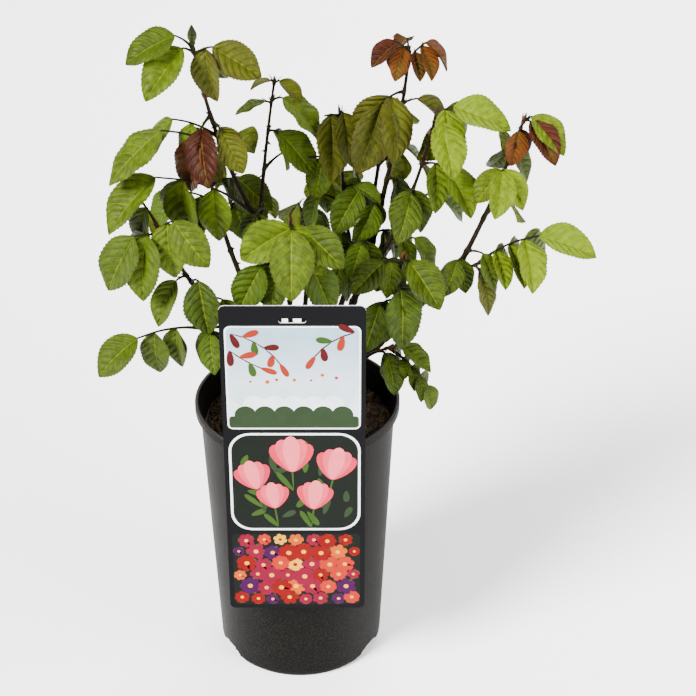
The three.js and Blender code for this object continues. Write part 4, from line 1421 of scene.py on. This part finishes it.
class ROSE_OT_bud(bpy.types.Operator):
    """Makes the closed bud at the top of the tallest shoot"""

    bl_idname = "rose.bud"
    bl_label = "Bud"

    PROFILE = ((0, -4), (0.9, -4), (1.4, -3), (2.3, -1.6), (2.6, -0.4), (2.3, 0.8), (3.1, 2), (3.7, 4),
               (3.6, 6), (2.9, 8.4), (1.8, 10.6), (0.9, 12.2), (0.4, 13), (0, 13.2))
    SEPAL = ((1, 2.5, 1.5), (3.2, 3.6, 2.3), (5.6, 3.8, 2.2), (8.2, 3.1, 1.7), (10.6, 2, 1.1), (12.6, 1, 0.5))
    SEPALS = {"count": 5, "first": 20, "tip": (0.5, 14.6)}

    def execute(self, context):
        tip = shrub()[1]["left_tall"]["path"][-1]
        points, faces = turned(self.PROFILE, 20)
        flower = welded(mesh_piece("bud_body", points + np.array(tip), faces, [self.finish("bud_green")]))
        keep(join("bud", [flower, *(self.sepal(tip, i) for i in range(self.SEPALS["count"]))]), "leaf")
        return {"FINISHED"}

    def sepal(self, tip, i):
        """A sepal lies against the bud, and its long tip stands a little off it."""
        out = pointing(self.SEPALS["first"] + i * 360 / self.SEPALS["count"], 0)
        points, faces = slim_leaf(tip, Vector((0, 0, 1)), out, self.SEPAL, self.SEPALS["tip"])
        return welded(mesh_piece(f"sepal_{i}", points, faces, [self.finish("sepal")]), TRIM_WELD)

    @staticmethod
    @lru_cache(maxsize=2)
    def finish(name):
        """Green skin that darkens to a red brown towards the top."""
        paint = Finish(name, 0.08)
        skin = (0.008, 0.011, 0.0015)
        if name == "sepal":
            patches = paint.noise(420, 2).between(0.35, 0.65)
            skin = paint.mix(patches, (0.012, 0.019, 0.002), (0.055, 0.066, 0.006))
        top = paint.split(paint.place, "Z").between(0.604, 0.618)
        colour = paint.mix(top * 0.9, skin, (0.004, 0.003, 0.001))
        return paint.done(colour, 0.42 + paint.noise(500) * 0.2, paint.noise(1500, 2), 0.3, 0.0003)


# -------- pot

POT = {"height": 260, "rim": 90, "rim_width": 3, "lip": 8, "shoulder": 86, "heel": 74.5, "heel_rise": 4,
       "foot": 72.8, "floor": 3, "sides": 216}
NOTCH = {"headings": (90, 210, 330), "radius": 22.5, "height": 9, "squeeze": 0.6, "wall": 2, "from": 50}
DRAIN = {"count": 5, "radius": 5, "ring": 46, "from": -4, "to": 8}
FOOT = {"hollow": 0.6, "ring": (60, 62), "round": 1.4}
OUTSIDE_HEIGHTS = [*range(6, 46, 2), *range(50, 246, 7)]
INSIDE_HEIGHTS = [*range(240, 46, -8), *range(44, 8, -2), 7]
LIP = {"fillet": ((0, -1.6), (1, -0.9)), "bend": ((-0.7, -0.2), (0, 0.6)), "inside": ((0.8, 1), (0, -1))}


def pot_wall_at(height):
    return blend((POT["heel"], POT["shoulder"]), height / POT["height"])


def arc(centre, radius, first, last, steps):
    """Points of an arc, with its angles in degrees."""
    angles = [math.radians(blend((first, last), i / steps)) for i in range(steps + 1)]
    return [(centre[0] + radius * math.cos(a), centre[1] + radius * math.sin(a)) for a in angles]


def pot_profile(wall, edge):
    """The pot's section, from the middle of its underside out, up, over the rim and down inside."""
    top, rim, floor = POT["height"], POT["rim"], POT["floor"]
    lip_foot = top - POT["lip"]
    shoulder = pot_wall_at(lip_foot)
    hollow, (ring_in, ring_out), heel = FOOT["hollow"], FOOT["ring"], FOOT["round"]
    outside = [(0, hollow), (ring_in, hollow), (ring_out, 0)]
    outside += arc((POT["foot"] - heel, heel), heel, -90, 0, 3)
    outside += [(pot_wall_at(height), height) for height in [POT["heel_rise"], *OUTSIDE_HEIGHTS]]
    outside += [(shoulder + out, lip_foot + up) for out, up in LIP["fillet"]]
    outside += [(rim + out, lip_foot + up) for out, up in LIP["bend"]]
    outside += arc((rim - edge, top - edge), edge, 0, 90, 5)
    inner = edge * 0.8
    inside = arc((rim - POT["rim_width"] + inner, top - inner), inner, 90, 180, 4)
    inside += [(shoulder - wall + out, lip_foot + up) for out, up in LIP["inside"]]
    inside += [(pot_wall_at(height) - wall, height) for height in INSIDE_HEIGHTS]
    inside += [(pot_wall_at(0) - wall - 4, floor), (0, floor)]
    return outside + inside


def notched(points, outside):
    """Pushes the foot of the wall in where the pot has its hand notches."""
    for heading in NOTCH["headings"]:
        out = np.array(pointing(heading, 0))
        aside = np.array(pointing(heading + 90, 0))
        reach = NOTCH["radius"] + np.where(outside, 0, NOTCH["wall"])
        depth = points @ out
        across = points @ aside
        rise = points[:, 2] - (NOTCH["height"] - NOTCH["radius"])
        inside = np.clip(1 - (across**2 + rise**2) / reach**2, 0, None)
        limit = POT["foot"] - reach * NOTCH["squeeze"] * np.sqrt(inside)
        low = (inside > 0) & (depth > limit) & (np.hypot(points[:, 0], points[:, 1]) > NOTCH["from"])
        points = points + out * np.where(low, limit - depth, 0)[:, None]
    return points


class ROSE_OT_pot(bpy.types.Operator):
    """Turns the pot with its rim, hand notches and drain holes"""

    bl_idname = "rose.pot"
    bl_label = "Pot"

    def execute(self, context):
        pot = context.scene.rose_pot
        profile = pot_profile(pot.wall / MM, pot.edge / MM)
        points, faces = turned(profile, POT["sides"])
        outside = np.tile(np.arange(len(profile)) < len(profile) * 0.6, POT["sides"])
        piece = welded(mesh_piece("pot_shell", notched(points, outside), faces, [self.finish(pot)]))
        cutter = join("drain_cutter", [self.cutter(i) for i in range(DRAIN["count"])])
        cut = piece.modifiers.new("drain", "BOOLEAN")
        cut.operation, cut.object, cut.solver = "DIFFERENCE", cutter, "EXACT"
        mesh = plain_mesh(piece)
        piece.modifiers.clear()
        piece.data = mesh
        smoothed(mesh, 38)
        bpy.data.objects.remove(cutter)
        keep(piece, "pot", "pot")
        return {"FINISHED"}

    @staticmethod
    def cutter(i):
        middle = pointing((i + 0.5) * 360 / DRAIN["count"], 0) * DRAIN["ring"]
        corners = [(0, DRAIN["from"]), (DRAIN["radius"], DRAIN["from"]), (DRAIN["radius"], DRAIN["to"])]
        points, faces = turned([*corners, (0, DRAIN["to"])], 24)
        return welded(mesh_piece(f"drain_{i}", points + np.array(middle), faces, []))

    @staticmethod
    def finish(pot):
        """Recycled plastic: dark, with a fine pale grain, dusty patches and a painted highlight along the top
        of the rim.
        """
        paint = Finish("pot_plastic", 0.045)
        plastic, speck = tuple(pot.plastic), tuple(pot.speck)
        grain = paint.noise(560, 3, 0.8).between(0.47, 0.66)
        clouds = paint.noise(14, 3)
        body = paint.mix(clouds, scaled(plastic, 0.8), scaled(plastic, 1.45))
        body = paint.mix(grain * 0.3, body, speck)
        # Painted highlight: the top 1.5 mm of the rim is made paler, as where light catches its rounded edge.
        rim = paint.split(paint.place, "Z").between(0.2585, 0.2600)
        colour = paint.mix(rim * (0.25 + paint.noise(60) * 0.25), body, (0.05, 0.048, 0.046))
        height = grain + paint.noise(300, 3) * 0.5
        return paint.done(colour, 0.4 + clouds * 0.12 + grain * 0.1, height, 0.5, 0.0003)


# -------- compost


CALM = {"radius": 14, "reach": 12}  # the compost is level round the rootstock


def soil_lump(x, y):
    return 1.6 * (np.sin(x * 0.19 + y * 0.07) + np.sin(y * 0.23 - x * 0.11) - 0.4)


def soil_calm(radius):
    return np.clip((radius - CALM["radius"]) / CALM["reach"], 0, 1)


@lru_cache(maxsize=1)
def crumb_tree():
    """Rough crumbs that lie on a surface."""

    def crumb(tree, _):
        ball = tree.node("GeometryNodeMeshIcoSphere", None, {"Radius": 1, "Subdivisions": 1})
        rough = tree.node("ShaderNodeTexNoise", None, {"Scale": 1.4, "Detail": 1})
        push = tree.times(tree.node("GeometryNodeInputNormal"), (rough - 0.5) * 1.7)
        return tree.node("GeometryNodeSetPosition", None, {"Geometry": ball, "Offset": push})

    def scale(tree, given):
        stretch = tree.random((0.35, 0.35, 0.3), (1.5, 1.2, 0.9), given["Seed"] + 1)
        return tree.times(stretch, given["Radius"])

    return strewn_tree("compost_crumbs", crumb, ((-math.pi,) * 3, (math.pi,) * 3), scale)


@lru_cache(maxsize=1)
def fibre_tree():
    """Thin bent fibres that lie on a surface."""

    def fibre(tree, given):
        line = tree.node("GeometryNodeCurveQuadraticBezier", None, {
            "Resolution": 5, "Start": (-0.5, 0, 0.06), "Middle": (0, 0.35, 0.3), "End": (0.5, 0, 0.02),
        })
        ring = tree.node("GeometryNodeCurvePrimitiveCircle", None, {
            "Resolution": 4, "Radius": given["Radius"] / given["Length"],
        })
        return tree.node("GeometryNodeCurveToMesh", None, {
            "Curve": line, "Profile Curve": ring, "Fill Caps": True,
        })

    def scale(tree, given):
        reach = tree.random(0.35, 1.0, given["Seed"] + 2) * given["Length"]
        return tree.vector(reach, reach, reach)

    turn = ((-0.5, -0.35, -math.pi), (0.5, 0.35, math.pi))
    return strewn_tree("compost_fibres", fibre, turn, scale, {"Length": "Float"})


class ROSE_OT_soil(bpy.types.Operator):
    """Fills the pot with compost, with crumbs and fibres on top"""

    bl_idname = "rose.soil"
    bl_label = "Compost"

    GAP_TO_WALL, FILLET = 2.6, 7
    BED_RINGS, BED_SIDES = 24, 96
    TOP = {"edge": 80, "heart": 13, "rings": 14, "sides": 60}
    BITS = ((0.016, 0.008, 0.0035), (0.055, 0.026, 0.01))
    GRIT = ((0.1, 0.09, 0.075), (0.25, 0.23, 0.2))
    FIBRE = {"Length": 0.016, "Radius": 0.00028}

    def execute(self, context):
        soil = context.scene.rose_soil
        earth, fibre = tuple(soil.earth), tuple(soil.fibre)
        dark = self.finish("compost", scaled(earth, 0.6), scaled(earth, 1.8))
        straw = self.finish("dry_fibre", scaled(fibre, 0.5), scaled(fibre, 1.6))
        crumbs, fibres = crumb_tree(), fibre_tree()
        keep(self.bed(dark), "soil", "soil")
        for name, tree, density, size, seed, material in (
            ("compost_crumbs", crumbs, soil.density, 1, 0, dark),
            ("compost_bits", crumbs, soil.density * 0.05, 1.2, 9, self.finish("bark_bits", *self.BITS)),
            ("compost_fibres", fibres, soil.fibres, 1, 4, straw),
            ("compost_grit", crumbs, soil.density * 0.012, 0.55, 21, self.finish("pale_grit", *self.GRIT)),
        ):
            values = {"Density": density, "Radius": soil.crumb * size, "Seed": soil.seed + seed,
                      "Material": material, **(self.FIBRE if tree is fibres else {})}
            keep(grown(self.top(name + "_bed"), tree, name, values), "soil")
        return {"FINISHED"}

    def bed(self, material):
        """The body of compost, from the pot's floor to its lumpy top."""
        floor, gap = POT["floor"] + 0.4, self.GAP_TO_WALL
        profile = [(0, floor), (pot_wall_at(0) - self.FILLET, floor), (pot_wall_at(7) - gap, 8)]
        profile += [(pot_wall_at(height) - gap, height) for height in range(20, SOIL_TOP - 4, 12)]
        edge = pot_wall_at(SOIL_TOP) - 2.5
        profile += [(blend((edge, 0), i / self.BED_RINGS), SOIL_TOP) for i in range(self.BED_RINGS + 1)]
        points, faces = turned(profile, self.BED_SIDES)
        x, y, z = points.T
        radius = np.hypot(x, y)
        fine = np.sin(x * 0.9) * np.cos(y * 1.1) * 0.5
        lumps = soil_lump(x, y) * soil_calm(radius) + fine - 0.6
        points[:, 2] += np.where(z > SOIL_TOP - 1, lumps, 0)
        pushed = notched(points, np.full(len(points), False))
        points = np.where(radius[:, None] > 40, pushed, points)
        return welded(mesh_piece("compost_bed", points, faces, [material]))

    def top(self, name):
        """A copy of the compost's top, for strewing pieces over."""
        top = self.TOP
        rings, sides = top["rings"], top["sides"]
        points, faces = [], []
        for i in range(rings):
            radius = blend((top["edge"], top["heart"]), i / (rings - 1))
            for k in range(sides):
                angle = 2 * math.pi * k / sides
                x, y = radius * math.cos(angle), radius * math.sin(angle)
                points.append((x, y, SOIL_TOP + soil_lump(x, y) * soil_calm(radius)))
        for i in range(0, sides * (rings - 1), sides):
            for k in range(sides):
                n = (k + 1) % sides
                faces.append((i + k, i + n, i + sides + n, i + sides + k))
        return mesh_piece(name, points, faces, [], sharp=0)

    @staticmethod
    def finish(name, low, high):
        paint = Finish(name, 0.1)
        colour = paint.mix(paint.noise(240, 4).between(0.35, 0.68), low, high)
        return paint.done(colour, 0.7 + paint.noise(400) * 0.3, paint.noise(1300, 4), 0.8, 0.0006)


# -------- picture card

CARD = {"width": 118, "bottom": 100, "top": 410, "front": 95, "thickness": 1, "corner": 5}
SLOT = {"width": 22, "height": 4, "below_top": 12, "corner": 1.9}
HOOK = {"width": 26, "thickness": 1.2, "reach": 12.6, "drop": 18}
INK_DEPTH = 0.2  # how far the ink goes into the card
FRAME = 55  # half the width of each field of the picture


def rounded(half, low, high, corner, steps=6):
    """The outline of a rectangle with round corners, in the card's plane and about its middle line."""
    side, top, foot = half - corner, high - corner, low + corner
    outline = []
    for i, place in enumerate(((side, top), (-side, top), (-side, foot), (side, foot))):
        outline += arc(place, corner, 90 * i, 90 * (i + 1), steps)
    return outline


def turned_from(x, z, reach, heading, aside=0):
    """A place in the card's plane, at a distance along a heading and another to its right."""
    across, up = math.cos(math.radians(heading)), math.sin(math.radians(heading))
    return x + across * reach + up * aside, z + up * reach - across * aside


SPRIG = {"twig": (13, 1.4), "leaf": (15, 7.5), "shrink": 0.8, "splay": 48, "step": 10, "end": (14, 6.5)}


class Print:
    """Flat shapes of ink on the card's face. A shape of a higher level lies over one of a lower level."""

    def __init__(self, layer):
        self.layer = layer
        self.plates, self.picks, self.inks = [], [], []

    def shape(self, outline, ink, level):
        """One closed shape, as a thin plate."""
        if ink not in self.inks:
            self.inks.append(ink)
        sides = len(outline)
        depths = (-CARD["front"] - self.layer * level, -CARD["front"] + INK_DEPTH)
        faces = [range(sides), range(2 * sides - 1, sides - 1, -1)]
        faces += [(i, sides + i, sides + (i + 1) % sides, (i + 1) % sides) for i in range(sides)]
        self.plates.append(([(x, y, z) for y in depths for x, z in outline], faces))
        self.picks += [self.inks.index(ink)] * (sides + 2)

    def disc(self, x, z, radius, ink, level, sides=20):
        self.shape(arc((x, z), radius, 0, 360 - 360 / sides, sides - 1), ink, level)

    def petal(self, x, z, length, width, heading, ink, level, sides=18):
        """A petal or a leaf with its foot at a point."""
        outline = []
        for k in range(sides):
            angle = 2 * math.pi * k / sides
            reach = 0.5 - 0.5 * math.cos(angle)
            spread = width / 2 * math.sin(angle) * (0.55 + 0.45 * reach)
            outline.append(turned_from(x, z, length * reach, heading, spread))
        self.shape(outline, ink, level)

    def sprig(self, x, z, heading, turn, leaves, level):
        """A bending twig with a leaf on each side in turn."""
        length, width = SPRIG["leaf"]
        for k in range(leaves):
            self.petal(x, z, *SPRIG["twig"], heading, "wine", level)
            side = SPRIG["splay"] if k % 2 else -SPRIG["splay"]
            ink = ("wine", "rust", "leafy")[k % 3]
            self.petal(x, z, length - k * SPRIG["shrink"], width, heading + side, ink, level + 1 + k)
            x, z = turned_from(x, z, SPRIG["step"], heading)
            heading += turn
        self.petal(x, z, *SPRIG["end"], heading, "rust", level + 1 + leaves)


# The picture's fields and what grows in them. Hills are rows of discs, with their height, radius and
# ink. A sprig has its foot, heading, turn, leaves and level. A tulip has its heart, lean and size, and
# its petals have their turns and inks.
SKY = {"low": 291, "high": 391, "corner": 5, "line": 1.4, "moss_top": 304, "seed": 301}
HILLS = ((325, 11, "haze"), (314, 10, "cloud"), (305, 9, "moss"))
SPRIGS = ((-50, 384, -18, -9, 5, 11), (-51, 368, -40, 6, 3, 18), (50, 385, 200, 10, 4, 24))
DRIFT = {"count": 7, "first": -36, "apart": 12, "height": 341, "radius": 1.5}
WINDOW = {"low": 186, "high": 287, "corner": 18, "line": 2, "inside": 50, "seed": 303}
LEAVES = {"count": 22, "columns": 6, "first": (-40, 202), "apart": (16, 22), "length": 15, "width": 7}
TULIPS = ((-32, 230, 104, 1), (31, 240, 78, 1.1), (-2, 248, 92, 1.2), (15, 209, 84, 1), (-17, 210, 98, 0.9))
TULIP = {"foot": (16, 20), "green": ((24, 2, 0), (20, 6, 34)), "length": 30, "width": 15, "shrink": 0.12}
TULIP_PETALS = ((30, "pink"), (-30, "pink"), (15, "rosy"), (-15, "rosy"), (0, "blush"))
MEADOW = {"low": 104, "high": 182, "corner": 4, "rows": 6, "apart": (14, 12.8), "first": (-49, 111),
          "seed": 302}
BRIGHT = ("magenta", "red", "amber", "violet", "coral", "red", "magenta", "lemon")
JUST_UNDER = 0.01  # keeps a drawn share of a count below the count


class ROSE_OT_card(bpy.types.Operator):
    """Makes the printed card and its hook over the rim"""

    bl_idname = "rose.card"
    bl_label = "Picture card"

    def execute(self, context):
        card = context.scene.rose_card
        finishes = ink_finishes(card)
        keep(join("card_sheet", [self.sheet(finishes), self.hook(finishes)]), "card", "label_card")
        keep(self.printed(card, finishes), "card")
        return {"FINISHED"}

    @staticmethod
    def sheet(finishes):
        """The plastic card with its hanging slot. Its front is printed dark all over."""
        curve = bpy.data.curves.new("card_outline", "CURVE")
        curve.dimensions = "2D"
        curve.fill_mode = "BOTH"
        slot_top = CARD["top"] - SLOT["below_top"]
        for outline in (
            rounded(CARD["width"] / 2, CARD["bottom"], CARD["top"], CARD["corner"]),
            rounded(SLOT["width"] / 2, slot_top - SLOT["height"], slot_top, SLOT["corner"]),
        ):
            spline = curve.splines.new("POLY")
            spline.points.add(len(outline) - 1)
            for place, (x, z) in zip(spline.points, outline):
                place.co = (x * MM, z * MM, 0, 1)
            spline.use_cyclic_u = True
        curve.extrude = CARD["thickness"] / 2 * MM
        flat = linked("card_flat", curve)
        mesh = plain_mesh(flat)
        bpy.data.objects.remove(flat)
        middle = (CARD["thickness"] / 2 - CARD["front"]) * MM
        mesh.transform(Matrix.Translation((0, middle, 0)) @ Matrix.Rotation(math.radians(90), 4, "X"))
        mesh.materials.clear()
        for ink in ("paper", "night"):
            mesh.materials.append(finishes[ink])
        plate = welded(linked("card_sheet", mesh))
        for face in plate.data.polygons:
            face.material_index = int(face.normal.y < -0.5)
        return plate

    @staticmethod
    def hook(finishes):
        """A strap from the card's back, over the rim and down inside the pot."""
        over, t, reach = POT["height"] + GAP, HOOK["thickness"], HOOK["reach"]
        low = over - HOOK["drop"]
        strap = [(-t, over), (reach, over), (reach, low)]
        strap += [(reach + t, low), (reach + t, over + t), (-t, over + t)]
        half, start = HOOK["width"] / 2, CARD["thickness"] - CARD["front"]
        points = [(x, y + start, z) for x in (-half, half) for y, z in strap]
        faces = [[5, 4, 3, 2, 1, 0], [6, 7, 8, 9, 10, 11]]
        faces += [[i, (i + 1) % 6, (i + 1) % 6 + 6, i + 6] for i in range(6)]
        return welded(mesh_piece("card_hook", points, faces, [finishes["paper"]], sharp=0))

    def printed(self, card, finishes):
        """All the ink of the picture."""
        art = Print(card.layer / MM)
        self.sky(art)
        self.window(art)
        self.meadow(art)
        materials = [finishes[ink] for ink in art.inks]
        return mesh_piece("card_print", *gather(art.plates), materials, art.picks, sharp=0)

    @staticmethod
    def sky(art):
        """A pale sky over scalloped hills, with sprigs that hang in from both upper corners."""
        low, high, corner, line = SKY["low"], SKY["high"], SKY["corner"], SKY["line"]
        half = FRAME - line
        art.shape(rounded(FRAME, low, high, corner), "paper", 1)
        art.shape(rounded(half, low + line, high - line, corner - 1), "sky", 2)
        for row, (z, radius, ink) in enumerate(HILLS):
            for k in range(6 - row % 2):
                art.disc(-40 + k * 16 + row % 2 * 8, z, radius, ink, 3 + 2 * row + k % 2, 32)
        art.shape(rounded(half, low + line, SKY["moss_top"], corner - 2), "moss", 9)
        for sprig in SPRIGS:
            art.sprig(*sprig)
        draw = Seeded(SKY["seed"])
        for k in range(DRIFT["count"]):
            x, z = DRIFT["first"] + k * DRIFT["apart"] + draw(3), DRIFT["height"] + draw(5)
            art.disc(x, z, DRIFT["radius"] + draw(0.4), ("coral", "amber")[k % 2], 3, 12)

    @staticmethod
    def window(art):
        """A dark field in a white line, with leaves behind five tulips."""
        low, high, corner, line = WINDOW["low"], WINDOW["high"], WINDOW["corner"], WINDOW["line"]
        art.shape(rounded(FRAME, low, high, corner, 8), "paper", 1)
        art.shape(rounded(FRAME - line, low + line, high - line, corner - 1.5, 8), "deep", 2)
        draw = Seeded(WINDOW["seed"])
        (left, bottom), (across, up) = LEAVES["first"], LEAVES["apart"]
        for i in range(LEAVES["count"]):
            row, column = divmod(i, LEAVES["columns"])
            x, z = left + column * across + draw(4), bottom + row * up + draw(5)
            length, heading = LEAVES["length"] + draw(4), draw.between(0, 360)
            if abs(turned_from(x, z, length, heading)[0]) > WINDOW["inside"]:
                heading = 180 - heading
            art.petal(x, z, length, LEAVES["width"], heading, ("moss", "leafy")[i % 3 == 0], 3 + i)
        for i, (x, z, lean, size) in enumerate(TULIPS):
            aside, below = TULIP["foot"]
            foot = (x - aside * math.cos(math.radians(lean)), z - below * math.sin(math.radians(lean)))
            for (length, width, turn), level in zip(TULIP["green"], (26, 31)):
                art.petal(*foot, length * size, width, lean + turn, "leafy", level + i)
            for turn, ink in TULIP_PETALS:
                level = 36 + 6 * i + 2 * ((30 - abs(turn)) // 15) + (turn > 0)
                length = (TULIP["length"] - abs(turn) * TULIP["shrink"]) * size
                art.petal(x, z, length, TULIP["width"] * size, lean + turn, ink, level)

    @staticmethod
    def meadow(art):
        """A band of small round blossoms, in staggered rows, with leaves between."""
        low, high = MEADOW["low"], MEADOW["high"]
        (left, bottom), (across, up) = MEADOW["first"], MEADOW["apart"]
        art.shape(rounded(FRAME, low, high, MEADOW["corner"]), "deep", 1)
        draw = Seeded(MEADOW["seed"])
        for row in range(MEADOW["rows"]):
            for k in range(8 - row % 2):
                x = left + k * across + row % 2 * across / 2 + draw(1.5)
                z = bottom + row * up + draw(1.4)
                ink = BRIGHT[int(draw.between(0, len(BRIGHT) - JUST_UNDER))]
                width, turn = draw.between(7, 10), draw.between(0, 72)
                width = min(width, FRAME - abs(x), z - low, high - z)
                level = 2 + 5 * ((row * 3 + k) % 6)
                for leaf in range(3):
                    art.petal(x, z, width, 5, turn + leaf * 115 + 20, ("leafy", "moss")[leaf % 2], level)
                petals = 6 + int(draw.between(0, 3 - JUST_UNDER))
                for p in range(petals):
                    above = level + 1 + p % 2 + (p == petals - 1)
                    art.petal(x, z, width, width * 0.85, turn + p * 360 / petals, ink, above)
                art.disc(x, z, width * 0.24, "lemon" if ink != "lemon" else "red", level + 4, 10)


INK_COLOURS = {
    "cloud": (0.6, 0.66, 0.7), "haze": (0.42, 0.52, 0.56), "magenta": (0.13, 0.0006, 0.016),
    "red": (0.13, 0.0006, 0.001), "amber": (0.36, 0.05, 0.001), "violet": (0.03, 0.0015, 0.03),
    "coral": (0.3, 0.012, 0.006), "lemon": (0.55, 0.24, 0.01), "leafy": (0.022, 0.05, 0.006),
    "moss": (0.014, 0.026, 0.01), "rosy": (0.52, 0.05, 0.08), "wine": (0.05, 0.004, 0.004),
    "rust": (0.2, 0.018, 0.006),
}
HAZE = {"colour": (0.55, 0.6, 0.62), "heights": (0.30, 0.39)}  # the sky's foot is paler


def ink_finishes(card):
    """A glossy ink of each colour."""
    chosen = ("sky", "paper", "night", "deep", "pink", "blush")
    colours = {**INK_COLOURS, **{name: tuple(getattr(card, name)) for name in chosen}}
    finishes = {}
    for name, base in colours.items():
        paint = Finish("ink_" + name, 0.05, coat=0.04)
        colour = paint.mix(paint.noise(110, 3), scaled(base, 0.8), scaled(base, 1.15))
        if name == "sky":
            high = paint.split(paint.place, "Z").between(*HAZE["heights"])
            colour = paint.mix(high, HAZE["colour"], colour)
        rough = 0.34 + paint.noise(700, 2) * 0.12
        finishes[name] = paint.done(colour, rough, paint.noise(40, 2), 0.12, 0.0008)
    return finishes


# -------- stage


class ROSE_OT_stage(bpy.types.Operator):
    """Sets the floor, the soft studio lights and the camera"""

    bl_idname = "rose.stage"
    bl_label = "Stage"

    AIM = (0.0445, 0, 0.3106)
    SENSOR = 36
    FLOOR = {"half": 40000, "depth": 10, "below_foot": 0.2}
    LIGHTS = {
        "key": ("SUN", (-1.5, -1.3, 1.9), {"angle": math.radians(22)}),
        "right": ("AREA", (1.7, -1.1, 1.3), {"shape": "DISK", "size": 1.8}),
        "back": ("AREA", (0.5, 1.8, 1.9), {"shape": "DISK", "size": 2}),
    }
    BACK_SHARE = 0.85  # the back light's power as a share of the right one's

    def execute(self, context):
        stage = context.scene.rose_stage
        self.floor(stage)
        powers = {"key": stage.key, "right": stage.side, "back": stage.side * self.BACK_SHARE}
        for name, power in powers.items():
            self.light(name, power, *self.LIGHTS[name])
        context.scene.world = self.studio(stage)
        self.camera(stage)
        return {"FINISHED"}

    @staticmethod
    def studio(stage):
        """A dim even light from all round, seen as a wall as pale as the floor."""
        world = bpy.data.worlds.new("studio")
        world.use_nodes = True
        air = Tree(world.node_tree)
        white = (1, 1, 1, 1)
        dim = air.node("ShaderNodeBackground", None, {"Color": white, "Strength": stage.around})
        pale = air.node("ShaderNodeBackground", None, {"Color": white, "Strength": stage.wall})
        seen = air.node("ShaderNodeLightPath")
        both = air.node("ShaderNodeMixShader", None, {0: seen, 1: dim, 2: pale})
        air.node("ShaderNodeOutputWorld", None, {"Surface": both})
        return world

    def floor(self, stage):
        half, depth, top = self.FLOOR["half"], self.FLOOR["depth"], -self.FLOOR["below_foot"]
        corners = ((-half, -half), (half, -half), (half, half), (-half, half))
        points = [(x, y, z) for z in (-depth, top) for x, y in corners]
        faces = [(0, 3, 2, 1), (4, 5, 6, 7), (0, 1, 5, 4), (1, 2, 6, 5), (2, 3, 7, 6), (3, 0, 4, 7)]
        paint = Finish("pale_floor", 0.2)
        base = tuple(stage.floor)
        colour = paint.mix(paint.noise(3, 2), scaled(base, 0.985), scaled(base, 1.01))
        material = paint.done(colour, 0.75 + paint.noise(5) * 0.1)
        mesh_piece("floor", points, faces, [material], sharp=0)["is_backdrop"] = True

    def light(self, name, power, kind, place, settings):
        lamp = bpy.data.lights.new(name, kind)
        lamp.energy = power
        for key, value in settings.items():
            setattr(lamp, key, value)
        piece = linked(name, lamp)
        piece.location = place
        piece.rotation_euler = (Vector(self.AIM) - Vector(place)).to_track_quat("-Z", "Y").to_euler()

    def camera(self, stage):
        data = bpy.data.cameras.new("camera")
        data.lens, data.sensor_width = stage.lens, self.SENSOR
        camera = linked("camera", data)
        back = pointing(270, stage.elevation)
        camera.location = Vector(self.AIM) + back * stage.distance
        camera.rotation_euler = (-back).to_track_quat("-Z", "Y").to_euler()
        bpy.context.scene.camera = camera


# -------- the add-on

SETTINGS = {
    "rose_leaf": LeafSettings,
    "rose_stem": StemSettings,
    "rose_pot": PotSettings,
    "rose_soil": SoilSettings,
    "rose_card": CardSettings,
    "rose_stage": StageSettings,
}
OPERATORS = (
    ROSE_OT_canes, ROSE_OT_foliage, ROSE_OT_prickles, ROSE_OT_tips, ROSE_OT_bud, ROSE_OT_pot, ROSE_OT_soil,
    ROSE_OT_card, ROSE_OT_stage,
)


class ROSE_PT_panel(bpy.types.Panel):
    """Lists the pieces of the rose and their settings"""

    bl_label = "Potted rose"
    bl_idname = "ROSE_PT_panel"
    bl_space_type = "VIEW_3D"
    bl_region_type = "UI"
    bl_category = "Rose"

    def draw(self, context):
        for operator in OPERATORS:
            self.layout.operator(operator.bl_idname)
        for key, group in SETTINGS.items():
            box = self.layout.box()
            box.label(text=group.__doc__)
            for name in group.__annotations__:
                box.prop(getattr(context.scene, key), name)


def register():
    for kind in (*SETTINGS.values(), *OPERATORS, ROSE_PT_panel):
        bpy.utils.register_class(kind)
    for key, group in SETTINGS.items():
        setattr(bpy.types.Scene, key, PointerProperty(type=group))


def unregister():
    for key in SETTINGS:
        delattr(bpy.types.Scene, key)
    for kind in reversed((*SETTINGS.values(), *OPERATORS, ROSE_PT_panel)):
        bpy.utils.unregister_class(kind)


def main():
    register()
    for operator in OPERATORS:
        group, name = operator.bl_idname.split(".")
        getattr(getattr(bpy.ops, group), name)()
    boxes = {"cad": CAD_BOX, "visual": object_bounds()}
    sizes = {key: [list(corner) for corner in box] for key, box in boxes.items()}


if __name__ == "__main__":
    main()
